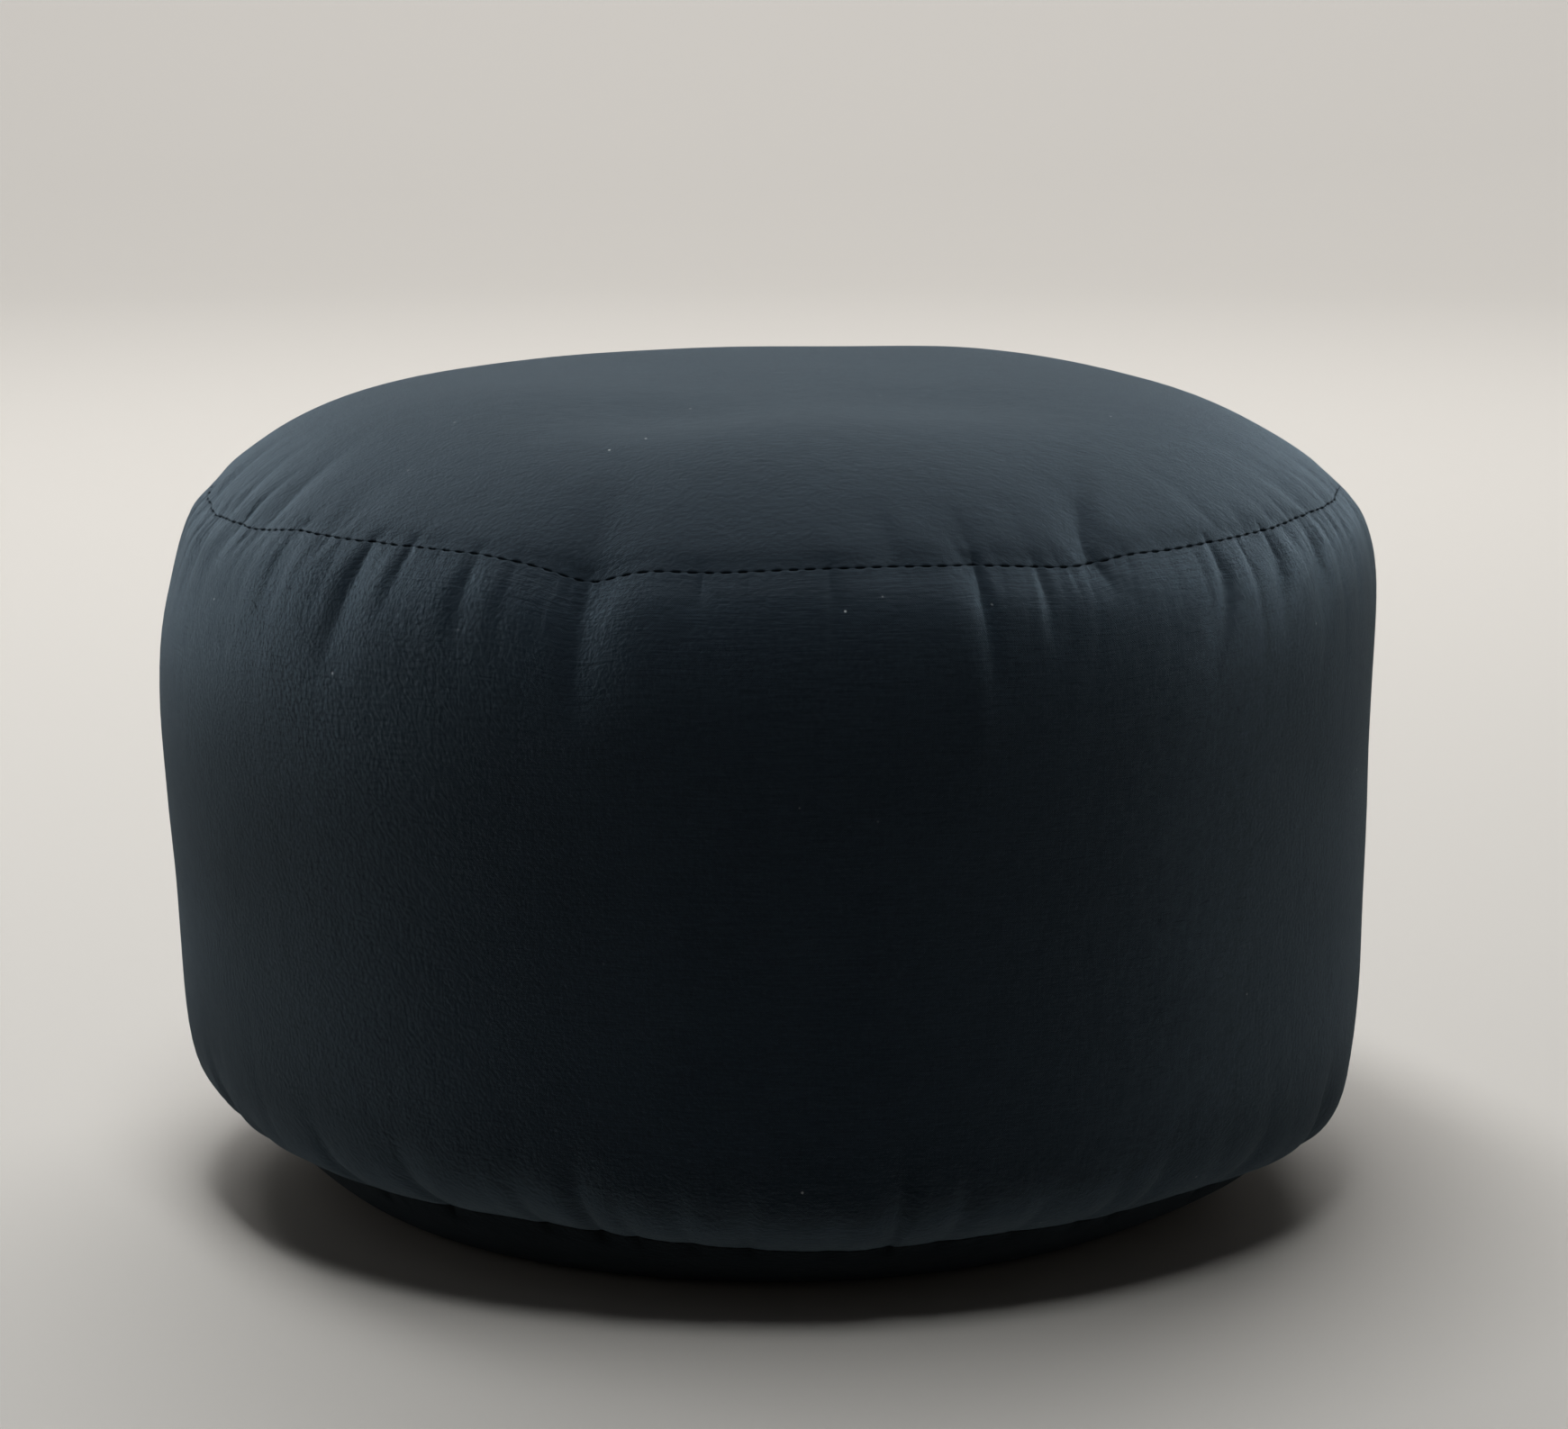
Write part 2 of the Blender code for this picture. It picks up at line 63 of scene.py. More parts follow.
# how a trough grows out of its seam and spreads on its way
puckerHabit = {
    "seamShare": 0.4,
    "fullDepthAt": 0.007,
    "overSeam": 0.0045,
    "ridgeShare": 0.18,
    "crispShare": 0.42,
    "skew": 0.42,
    "startWidth": 0.62,
    "endWidth": 1.25,
    "crispWidth": 0.5,
    "driftPower": 1.5,
    "ridgeAt": 2.0,
    "ridgeWidth": 1.1,
    "nipFullDepthAt": 0.002,
    "crownNipFullDepthAt": 0.003,
}

# near the seams: a soft groove in mm, how the crown's cloth is held, and where the band's swells begin
seamHabit = {
    "grooveDepth": 0.8,
    "grooveWidth": 4.0,
    "crownStretch": 1.2,
    "tiedPower": 24,
    "shiftPower": 10,
    "swellPower": 8,
    "bandSwellFrom": 0.01,
}

# every pucker: azimuth, depth mm, width mm, reach mm, side of its ridge, drift of its foot in degrees
bandTopPuckers = [
    (-85, 0.9, 4.0, 36, 0, 1.0),
    (-71, 1.1, 4.0, 26, 0, 0.0),
    (-64, 0.7, 4.0, 12, 0, -1.0),
    (-51.5, 1.3, 5.5, 30, 1, -2.0),
    (-40.2, 2.1, 6.0, 36, 1, -3.0),
    (-35.2, 1.9, 5.5, 22, 1, -1.2),
    (-27.9, 1.5, 6.0, 32, 1, 0.8),
    (-23.5, 0.8, 6.0, 31, 1, -0.6),
    (-16.9, 2.3, 7.0, 42, 1, 1.8),
    (-6.3, 0.6, 4.0, 16, 1, 0.0),
    (5.4, 0.6, 4.0, 38, 1, 0.0),
    (19.2, 2.6, 4.5, 34, -1, -0.4),
    (25.1, 1.1, 4.0, 26, 1, -0.4),
    (31.6, 1.3, 4.5, 11, 0, 1.5),
    (46.1, 1.5, 4.0, 30, 0, -5.6),
    (52.3, 1.0, 4.0, 12, 0, -5.0),
    (55.2, 1.4, 4.5, 21, -1, -3.8),
    (63.2, 1.4, 4.5, 27, 0, -6.8),
    (73.5, 1.2, 4.0, 34, 0, -6.0),
    (83, 1.0, 4.0, 36, 0, -5.0),
]
crownPuckers = [
    (-80, 1.1, 4.5, 30, 0, 0.0),
    (-69, 1.2, 5.0, 34, 0, 0.0),
    (-58, 1.3, 6.0, 40, 0, 0.0),
    (-46, 0.8, 5.0, 24, 0, 0.0),
    (11.4, 0.9, 5.5, 26, -1, 0.0),
    (19.2, 1.1, 5.0, 22, -1, -1.0),
    (31.0, 1.5, 7.5, 50, -1, 14.5),
    (52.5, 0.6, 5.0, 16, 0, 1.0),
    (66, 0.5, 5.0, 18, 0, 0.0),
    (79, 0.5, 5.0, 20, 0, 0.0),
]
bandBasePuckers = [
    (-84, 2.2, 5.0, 30, 1, 0.0),
    (-69, 2.8, 5.5, 30, 1, 0.0),
    (-61.5, 2.2, 4.5, 20, 0, 0.0),
    (-46.7, 2.6, 5.0, 26, 1, 0.0),
    (-36, 3.2, 4.6, 26, 1, 0.5),
    (-23.6, 2.4, 4.5, 20, 1, 0.0),
    (-17.8, 3.6, 4.6, 30, 1, 1.0),
    (-13.8, 3.0, 4.0, 18, 1, 0.5),
    (-7.9, 2.4, 4.6, 24, 0, 0.0),
    (-1.9, 2.4, 4.6, 26, -1, 0.0),
    (6.3, 1.6, 4.0, 14, 0, 0.0),
    (12.4, 3.2, 4.2, 32, -1, -1.0),
    (17.8, 2.2, 4.5, 24, 0, 0.0),
    (26, 1.6, 4.0, 18, 0, 0.0),
    (34.3, 2.0, 4.6, 20, 0, 0.0),
    (39, 2.4, 4.6, 24, 0, 0.0),
    (53, 2.0, 5.0, 22, 0, 0.0),
    (66, 4.0, 5.5, 32, 1, 0.0),
    (78, 1.8, 5.0, 24, 0, 0.0),
]

# narrow nips that run inside and between the puckers: same columns
bandTopNips = [
    (-60.7, 0.5, 1.6, 10, 1, -1.5),
    (-45.8, 0.4, 1.6, 7, 1, -1.0),
    (-43.9, 0.5, 1.6, 8, 0, -1.0),
    (-40.3, 0.4, 1.6, 14, 1, -0.9),
    (-35.3, 0.4, 1.6, 10, 1, -0.6),
    (-31.6, 0.4, 1.5, 5, 0, 0.0),
    (-18.3, 0.5, 1.4, 9, 0, 0.2),
    (-16.5, 0.6, 1.6, 14, 1, 0.6),
    (-6.0, 0.5, 1.5, 12, 1, 0.0),
    (-1.8, 0.35, 1.8, 16, 0, 0.0),
    (5.6, 0.45, 1.6, 26, 1, 0.0),
    (12.0, 0.3, 1.4, 9, 0, 0.0),
    (19.3, 0.6, 1.7, 20, -1, -0.2),
    (25.1, 0.5, 1.5, 16, 1, -0.3),
    (28.6, 0.4, 1.5, 12, 1, -0.4),
    (31.7, 0.5, 1.6, 7, 0, 0.6),
    (35.0, 0.4, 1.5, 7, 0, -0.5),
    (46.0, 0.5, 1.7, 16, 0, -2.3),
    (51.5, 0.4, 1.5, 8, 0, -2.5),
    (55.3, 0.5, 1.6, 14, -1, -2.2),
    (59.0, 0.5, 1.5, 8, 0, -1.6),
    (66.2, 0.5, 1.5, 9, 0, -2.0),
    (70.0, 0.5, 1.6, 18, 0, -3.0),
]
crownNips = [
    (-72.0, 0.5, 2.0, 24, 0, 2.0),
    (-68.3, 0.4, 1.8, 18, 0, 2.0),
    (-63.8, 0.7, 2.2, 28, 1, 3.0),
    (-55.5, 0.3, 1.8, 10, 0, 1.0),
    (-50.6, 0.4, 2.0, 9, 0, 1.5),
    (-45.0, 0.4, 2.0, 16, 0, 1.5),
    (-39.5, 0.3, 1.8, 8, 0, 1.0),
    (-35.0, 0.3, 2.0, 12, 0, 1.0),
    (18.2, 0.4, 2.2, 12, -1, -1.0),
    (31.0, 0.6, 2.4, 18, -1, 2.9),
    (50.6, 0.3, 1.8, 9, 0, 0.5),
    (58.0, 0.3, 1.6, 6, 0, 0.0),
]
bandBaseNips = [
    (-62.0, 0.6, 1.6, 12, 1, 0.0),
    (-46.5, 0.6, 1.6, 12, 1, 0.0),
    (-36.2, 0.7, 1.6, 12, 1, 0.4),
    (-24.0, 0.6, 1.5, 10, 1, 0.0),
    (-17.6, 0.8, 1.6, 16, 1, 0.8),
    (-13.6, 0.7, 1.4, 9, 1, 0.4),
    (-1.8, 0.5, 1.5, 12, -1, 0.0),
    (12.6, 0.7, 1.5, 16, -1, -0.8),
    (34.0, 0.5, 1.5, 10, 0, 0.0),
    (65.6, 0.9, 1.8, 20, 1, 0.0),
]

# where the seams sag: azimuth, drop mm, draw in mm, how wide in degrees
topSeamDips = [
    (-78, 1.8, 0.7, 10),
    (-73, 0.7, 0.0, 6),
    (-60, 1.2, 0.3, 8),
    (-52, -1.2, 0.0, 6),
    (-38, -1.6, 0.0, 12),
    (-28, -0.7, 0.0, 6),
    (-20, -0.8, 0.0, 4),
    (-16.8, 3.3, 0.0, 5.5),
    (-16.4, 0.6, 0.0, 2),
    (-11.8, -0.9, 0.0, 4),
    (-6, 0.5, 0.0, 5),
    (10, -0.6, 0.6, 12),
    (31, 1.9, 0.0, 8),
    (35, -1.2, 0.0, 4),
    (65, -0.6, 0.0, 7),
    (84, -0.7, -1.6, 14),
    (128, 1.8, 0.4, 9),
    (176, 2.2, 0.4, 9),
    (222, 1.6, 0.4, 9),
]
baseSeamDips = [
    (-62, 0.0, 2.2, 22),
    (-28, -1.5, 0.0, 14),
    (8, 2.2, 0.0, 16),
    (36, 1.6, 0.0, 12),
    (68, 3.4, -3.6, 18),
    (120, 2.0, 1.5, 20),
    (200, 2.5, 2.0, 24),
    (245, 1.0, 0.5, 16),
]

# broad bulges and hollows of the band: azimuth, height mm, rise mm, wide degrees, tall mm
bandSwells = [
    (88, 120, -1.2, 40, 34),
    (-88, 156, -1.2, 40, 14),
    (-86, 122, 1.4, 40, 24),
    (-60, 18, 1.0, 26, 12),
    (80, 36, -1.6, 24, 14),
    (0, 142, 1.6, 58, 24),
    (-12, 142, 0.5, 5, 24),
    (18.0, 152, 0.8, 1.6, 16),
    (42, 124, 0.8, 16, 30),
    (-40, 114, 0.9, 18, 30),
    (150, 124, 0.9, 26, 30),
    (205, 74, -1.2, 24, 34),
]
# and of the top panel: x mm, y mm, rise mm, spread mm
crownSwells = [
    (-62, -38, 1.6, 34),
    (-28, -72, -2.4, 24),
    (28, 6, 0.8, 40),
    (52, -52, -1.2, 24),
    (-40, 70, -0.6, 40),
    (62, 62, 1.6, 34),
]

# along the front the crown stays level for longer, then falls steeply to the seam
frontBrim = {"rise": 1.8, "at": 0.72, "spread": 0.20, "wide": 60.0}

# how strongly the cloth is gathered round the cushion: azimuth, share, how wide in degrees
gatherPlaces = [
    (-80, 0.9, 14),
    (-48, 0.45, 16),
    (-22, 0.40, 12),
    (27, 0.45, 9),
    (60, 0.75, 16),
    (84, 0.9, 14),
    (122, 0.8, 22),
    (165, 0.8, 22),
    (210, 0.8, 24),
    (250, 0.8, 20),
]
gatherEverywhere = 0.16

# the small gathers of each face of a seam: waves round the cushion, depth mm, reach mm
gathers = {
    "bandTop": {"seed": 21, "lean": 60.0, "waves": [(62, 1.0, 22.0), (112, 0.85, 14.0), (176, 0.5, 8.0)]},
    "crown": {"seed": 33, "lean": 90.0, "waves": [(48, 0.6, 22.0), (96, 0.4, 12.0), (150, 0.24, 6.0)]},
    "bandBase": {"seed": 47, "lean": 60.0, "waves": [(56, 1.1, 24.0), (104, 0.75, 14.0), (160, 0.45, 8.0)]},
    "base": {"seed": 59, "lean": 60.0, "waves": [(40, 0.5, 14.0), (84, 0.3, 8.0)]},
}
# how narrow a gather's trough is, and how it fades away from its seam
gatherHabit = {
    "narrowing": 2.2,
    "middle": 0.3,
    "fadePower": 1.5,
    "seamShare": 0.4,
    "fullDepthAt": 0.3,
    "behindSeam": 0.003,
}


def bell(distance, spread):
    return np.exp(-((distance / spread) ** 2))


def smooth(value):
    held = np.clip(value, 0.0, 1.0)
    return held * held * (3.0 - 2.0 * held)


def turnBetween(azimuth, other):
    return (azimuth - other + 180.0) % 360.0 - 180.0


backHabit = {"from": 90, "to": 270, "scatter": 0.25, "least": 0.6, "most": 1.4, "narrowest": 4.5, "widest": 6.0}


def backPuckers(seed, spacing, depth, reach):
    # the half that faces away: spaced by rule, and each a little unlike the next
    draw = random.Random(seed)
    rows = []
    for azimuth in range(backHabit["from"], backHabit["to"], spacing):
        place = azimuth + draw.uniform(-backHabit["scatter"], backHabit["scatter"]) * spacing
        deep = depth * draw.uniform(backHabit["least"], backHabit["most"])
        wide = draw.uniform(backHabit["narrowest"], backHabit["widest"])
        far = reach * draw.uniform(backHabit["least"], backHabit["most"])
        rows.append((place, deep, wide, far, draw.choice((-1, 0, 1)), 0.0))
    return rows


topPuckers = bandTopPuckers + backPuckers(4, 9, 1.7, 26)
panelPuckers = crownPuckers + backPuckers(7, 16, 1.1, 28)
basePuckers = bandBasePuckers + backPuckers(9, 10, 1.8, 26)


def puckerPush(puckers, azimuth, radius, fromSeam, fullDepthAt=puckerHabit["fullDepthAt"]):
    # how far the puckers draw the cloth in, at a signed distance from their seam
    push = np.zeros(np.broadcast(azimuth, fromSeam).shape)
    grown = puckerHabit["seamShare"] + (1.0 - puckerHabit["seamShare"]) * smooth(fromSeam / fullDepthAt)
    crisp, ridgeAt, ridgeWidth = puckerHabit["crispShare"], puckerHabit["ridgeAt"], puckerHabit["ridgeWidth"]
    for place, depth, width, reach, ridge, drift in puckers:
        run = np.clip(fromSeam / (reach * mm), 0.0, 1.0)
        spread = width * mm * (puckerHabit["startWidth"] + (puckerHabit["endWidth"] - puckerHabit["startWidth"]) * run)
        foot = place + drift * run ** puckerHabit["driftPower"]
        across = np.radians(turnBetween(azimuth, foot)) * radius / spread
        # the wall on the side of the ridge is the long gentle one
        across = across / (1.0 + puckerHabit["skew"] * ridge * np.sign(across))
        farthest = np.where(fromSeam > 0.0, reach * mm, puckerHabit["overSeam"])
        along = grown * (1.0 - smooth(np.abs(fromSeam) / farthest))
        trough = (1.0 - crisp) * bell(across, 1.0) + crisp * np.exp(-np.abs(across) / puckerHabit["crispWidth"])
        ridges = bell(across + ridgeAt, ridgeWidth) * (1 - ridge) + bell(across - ridgeAt, ridgeWidth) * (1 + ridge)
        push += depth * mm * along * (trough - puckerHabit["ridgeShare"] * ridges / 2.0)
    return push


def ringNoise(seed, waves, azimuth):
    # a smooth random wave that closes on itself round the cushion
    knots = np.random.RandomState(seed).uniform(-1.0, 1.0, waves)
    place = azimuth / 360.0 * waves
    first = np.floor(place).astype(int)
    share = smooth(place - first)
    return knots[first % waves] * (1.0 - share) + knots[(first + 1) % waves] * share


def gatherPush(face, azimuth, fromSeam):
    # small seeded gathers: round ridges with narrow troughs, the finer the sooner gone
    strength = gatherEverywhere + sum(
        share * bell(turnBetween(azimuth, place), wide) for place, share, wide in gatherPlaces
    )
    strength = np.minimum(strength, 1.0)
    away = np.maximum(fromSeam, 0.0)
    behind = np.maximum(-fromSeam, 0.0)
    atSeam, fullAt = gatherHabit["seamShare"], gatherHabit["fullDepthAt"]
    push = 0.0
    for number, (waves, depth, reach) in enumerate(face["waves"]):
        wave = ringNoise(face["seed"] + number, waves, azimuth + face["lean"] * away)
        trough = (1.0 - np.abs(wave)) ** gatherHabit["narrowing"] - gatherHabit["middle"]
        grown = atSeam + (1.0 - atSeam) * smooth(away / (fullAt * reach * mm))
        fade = np.exp(-((away / (reach * mm)) ** gatherHabit["fadePower"])) * grown
        push = push + depth * mm * trough * fade * bell(behind, gatherHabit["behindSeam"])
    return push * strength


def seamGroove(fromSeam):
    return seamHabit["grooveDepth"] * mm * bell(fromSeam, seamHabit["grooveWidth"] * mm)


def seamShift(dips, azimuth):
    up = -sum(drop * bell(turnBetween(azimuth, place), wide) for place, drop, _, wide in dips)
    inwards = sum(drawIn * bell(turnBetween(azimuth, place), wide) for place, _, drawIn, wide in dips)
    return up * mm, inwards * mm


def bandSwell(azimuth, height):
    return mm * sum(
        rise * bell(turnBetween(azimuth, place), wide) * bell(height - level * mm, tall * mm)
        for place, level, rise, wide, tall in bandSwells
    )


def crownSwell(x, y):
    return mm * sum(
        rise * bell(np.hypot(x - placeX * mm, y - placeY * mm), spread * mm)
        for placeX, placeY, rise, spread in crownSwells
    )


# the filling shows through the cloth as low soft lumps: rise and sizes in mm, places in metres
lumps = {
    "seed": 11,
    "bandCount": 90,
    "crownCount": 60,
    "rise": 0.45,
    "smallest": 13.0,
    "largest": 30.0,
    "lowest": 0.02,
    "highest": 0.165,
    "flattening": 1.4,
    "crownReach": 0.13,
}


def softLumps(kind, across, up):
    draw = np.random.RandomState(lumps["seed"] + (1 if kind == "crown" else 0))
    total = 0.0
    for _ in range(lumps[kind + "Count"]):
        rise = draw.uniform(-1.0, 1.0) * lumps["rise"] * mm
        spread = draw.uniform(lumps["smallest"], lumps["largest"]) * mm
        if kind == "band":
            placeAcross, placeUp = draw.uniform(-180.0, 180.0), draw.uniform(lumps["lowest"], lumps["highest"])
            gap = np.radians(turnBetween(across, placeAcross)) * form["bellyRadius"]
            total = total + rise * np.exp(-(gap**2 + (lumps["flattening"] * (up - placeUp)) ** 2) / spread**2)
        else:
            turned, far = draw.uniform(0.0, math.tau), lumps["crownReach"] * math.sqrt(draw.uniform(0.0, 1.0))
            gap = np.hypot(across - far * math.sin(turned), up + far * math.cos(turned))
            total = total + rise * bell(gap, spread)
    return total


def profileTable(radius, height, side):
    # the plain outline of one face, walked from its seam, with its inward direction
    stepRadius, stepHeight = np.gradient(radius), np.gradient(height)
    length = np.hypot(stepRadius, stepHeight)
    along = np.concatenate(([0.0], np.cumsum(np.hypot(np.diff(radius), np.diff(height)))))
    return {
        "along": along,
        "radius": radius,
        "height": height,
        "inRadius": side * stepHeight / length,
        "inHeight": -side * stepRadius / length,
        "run": along[-1],
    }


tableRows = {"crown": 4001, "band": 6001, "base": 6001}


def crownTable():
    share = np.linspace(1.0, 0.0, tableRows["crown"])
    height = form["topSeamHeight"] + form["crownRise"] * (1.0 - share ** form["crownPower"])
    return profileTable(share * form["topSeamRadius"], height, -1.0)


def bandTable():
    share = np.linspace(0.0, 1.0, tableRows["band"])
    height = form["topSeamHeight"] + (form["baseSeamHeight"] - form["topSeamHeight"]) * share
    radius = form["bellyRadius"] * np.ones_like(share)
    shoulder = form["bellyRadius"] - form["topSeamRadius"]
    radius -= shoulder * np.maximum(0.0, 1.0 - 2.0 * share) ** form["shoulderPower"]
    radius -= form["waist"] * smooth((form["waistTop"] - height) / (form["waistTop"] - form["waistBottom"]))
    rounding = form["bellyRadius"] - form["waist"] - form["baseSeamRadius"]
    radius -= rounding * np.maximum(0.0, 2.0 * share - 1.0) ** form["roundingPower"]
    return profileTable(radius, height, 1.0)


def baseTable():
    radius = np.linspace(form["baseSeamRadius"], 0.0, tableRows["base"])
    climb = np.maximum(0.0, radius - form["footRadius"]) / (form["baseSeamRadius"] - form["footRadius"])
    return profileTable(radius, form["baseSeamHeight"] * climb ** form["basePower"], 1.0)


profiles = {"crown": crownTable(), "band": bandTable(), "base": baseTable()}


def shapeCrown(azimuth, radius, height):
    share = np.minimum(1.0, radius / form["topSeamRadius"])
    slope = form["crownRise"] * form["crownPower"] / form["topSeamRadius"] * share ** (form["crownPower"] - 1.0)
    up, inwards = seamShift(topSeamDips, azimuth)
    seamRadius = form["topSeamRadius"]
    fromSeam = (radius - seamRadius) * seamHabit["crownStretch"]
    push = puckerPush(topPuckers, azimuth, seamRadius, fromSeam)
    push += puckerPush(panelPuckers, azimuth, seamRadius, -fromSeam)
    push += puckerPush(bandTopNips, azimuth, seamRadius, fromSeam, puckerHabit["nipFullDepthAt"])
    push += puckerPush(crownNips, azimuth, seamRadius, -fromSeam, puckerHabit["crownNipFullDepthAt"])
    push += gatherPush(gathers["crown"], azimuth, -fromSeam) + gatherPush(gathers["bandTop"], azimuth, fromSeam)
    push += seamGroove(fromSeam)
    tied, tilt = share ** seamHabit["tiedPower"], np.arctan(slope)
    shifted = share ** seamHabit["shiftPower"]
    drawnIn = inwards * shifted + push * (np.sin(tilt) * (1.0 - tied) + tied)
    turned = np.radians(azimuth)
    x, y = radius * np.sin(turned), -radius * np.cos(turned)
    swell = crownSwell(x, y) + softLumps("crown", x, y)
    brim = bell(turnBetween(azimuth, 0.0), frontBrim["wide"]) * bell(share - frontBrim["at"], frontBrim["spread"])
    swell = (swell + frontBrim["rise"] * mm * brim) * (1.0 - share ** seamHabit["swellPower"])
    return radius - drawnIn, height + up * shifted + swell - push * np.cos(tilt) * (1.0 - tied)


# the band is one strip, and the upright seam that closes it is guessed to be at the back
closingSeam = {"azimuth": 180.0, "depth": 0.9, "width": 1.1, "hollow": 0.5, "hollowWidth": 6.0, "pastBase": 0.002}


def closingPush(azimuth, radius):
    gap = np.radians(turnBetween(azimuth, closingSeam["azimuth"])) * radius
    narrow = closingSeam["depth"] * mm * np.exp(-np.abs(gap) / (closingSeam["width"] * mm))
    return narrow + closingSeam["hollow"] * mm * bell(gap, closingSeam["hollowWidth"] * mm)


def shapeBand(azimuth, radius, height):
    fromTop, fromBase = form["topSeamHeight"] - height, height - form["baseSeamHeight"]
    shareUp = fromBase / (fromTop + fromBase)
    nearTop, nearBase = smooth(2.0 * shareUp - 1.0) ** 2, smooth(1.0 - 2.0 * shareUp) ** 2
    topUp, topIn = seamShift(topSeamDips, azimuth)
    baseUp, baseIn = seamShift(baseSeamDips, azimuth)
    drawnIn = puckerPush(topPuckers, azimuth, radius, fromTop) + puckerPush(panelPuckers, azimuth, radius, -fromTop)
    drawnIn += puckerPush(basePuckers, azimuth, radius, fromBase)
    drawnIn += puckerPush(bandTopNips, azimuth, radius, fromTop, puckerHabit["nipFullDepthAt"])
    drawnIn += puckerPush(crownNips, azimuth, radius, -fromTop, puckerHabit["crownNipFullDepthAt"])
    drawnIn += puckerPush(bandBaseNips, azimuth, radius, fromBase, puckerHabit["nipFullDepthAt"])
    drawnIn += gatherPush(gathers["bandTop"], azimuth, fromTop) + gatherPush(gathers["crown"], azimuth, -fromTop)
    drawnIn += gatherPush(gathers["bandBase"], azimuth, fromBase) + gatherPush(gathers["base"], azimuth, -fromBase)
    drawnIn += seamGroove(fromTop) + seamGroove(fromBase) + topIn * nearTop + baseIn * nearBase
    drawnIn += closingPush(azimuth, radius)
    swell = bandSwell(azimuth, height) + softLumps("band", azimuth, height)
    swellFrom = seamHabit["bandSwellFrom"]
    drawnIn -= swell * smooth(fromTop / swellFrom) * smooth(fromBase / swellFrom)
    return radius - drawnIn, height + topUp * nearTop + baseUp * nearBase


def shapeBase(azimuth, radius, height):
    climb = np.clip((radius - form["footRadius"]) / (form["baseSeamRadius"] - form["footRadius"]), 0.0, 1.0)
    up, inwards = seamShift(baseSeamDips, azimuth)
    fromSeam = radius - form["baseSeamRadius"]
    push = puckerPush(basePuckers, azimuth, form["baseSeamRadius"], fromSeam)
    push += puckerPush(bandBaseNips, azimuth, form["baseSeamRadius"], fromSeam, puckerHabit["nipFullDepthAt"])
    push += gatherPush(gathers["bandBase"], azimuth, fromSeam) + gatherPush(gathers["base"], azimuth, -fromSeam)
    push += seamGroove(fromSeam) + closingPush(azimuth, radius) * bell(fromSeam, closingSeam["pastBase"])
    lift = up * climb ** form["basePower"]
    return radius - inwards * climb - push * climb, height + lift


shapers = {"crown": shapeCrown, "band": shapeBand, "base": shapeBase}

# the two sewn seams: this many stitches go round each, and the cloth gapes between the stitch holes
stitching = {
    "top": {"count": 237, "seamRadius": form["topSeamRadius"]},
    "base": {"count": 217, "seamRadius": form["baseSeamRadius"]},
    "gapAtHole": 0.08,
    "depthAtHole": 0.08,
    "closedShare": 0.16,
    "openingShare": 0.12,
    "lipReach": 0.9,
    "pinch": 0.06,
    "pinchReach": 1.2,
    "threadRadius": 0.18,
    "threadTaper": 0.35,
    "taperPower": 4,
    "threadDepth": 0.80,
    "threadEndDepth": 1.5,
    "divePower": 3,
    "threadShare": 0.60,
    "threadSides": 6,
    "threadRings": 7,
}


def stitchOpening(seam, azimuth):
    # 0 at a stitch hole and 1 half-way to the next
    phase = (azimuth / 360.0 * stitching[seam]["count"]) % 1.0
    fromHole = np.minimum(phase, 1.0 - phase)
    return smooth((fromHole - stitching["closedShare"]) / stitching["openingShare"])


def clothPoint(zone, seam, distance, inset, azimuth):
    # the place of the cloth at this many mm from its seam and this many mm inside its outer face
    table = profiles[zone]
    opening = stitchOpening(seam, azimuth)
    nearLip = bell(distance, stitching["lipReach"])
    reached = distance * (1.0 - nearLip * (1.0 - stitching["gapAtHole"]) * (1.0 - opening))
    deep = inset * (1.0 - nearLip * (1.0 - stitching["depthAtHole"]) * (1.0 - opening))
    deep = deep + stitching["pinch"] * (1.0 - opening) * np.exp(-distance / stitching["pinchReach"])
    along = reached * mm * np.ones_like(azimuth)
    if zone == "band" and seam == "base":
        along = table["run"] - along
    radius = np.interp(along, table["along"], table["radius"])
    height = np.interp(along, table["along"], table["height"])
    inRadius = np.interp(along, table["along"], table["inRadius"])
    inHeight = np.interp(along, table["along"], table["inHeight"])
    moved, lifted = shapers[zone](azimuth, radius, height)
    moved = moved + inRadius * deep * mm
    lifted = lifted + inHeight * deep * mm
    turned = np.radians(azimuth)
    return np.stack((moved * np.sin(turned), -moved * np.cos(turned), lifted), axis=1)


# rows of points: how many stand round the cushion close to a seam, further off, and in the middle,
# and how much of a step may be left over before the last row
density = {"fine": 1800, "middle": 900, "coarse": 450, "leftOver": 0.6}


def spacedRows(first, last, step, growth, widest):
    # distances that start close together and draw apart
    rows, place = [], first
    while place < last - density["leftOver"] * step:
        rows.append(place)
        place += step
        step = min(widest, step * growth)
    return rows


# a lip rolls over into the seam: mm from the seam, mm inside the outer face
lipRows = [(0.1, 1.9), (0.105, 1.3), (0.12, 0.85), (0.165, 0.5), (0.25, 0.25), (0.38, 0.09), (0.62, 0.02)]
surfaceRows = [1.1, 1.8, 2.7, 3.7, 4.8]


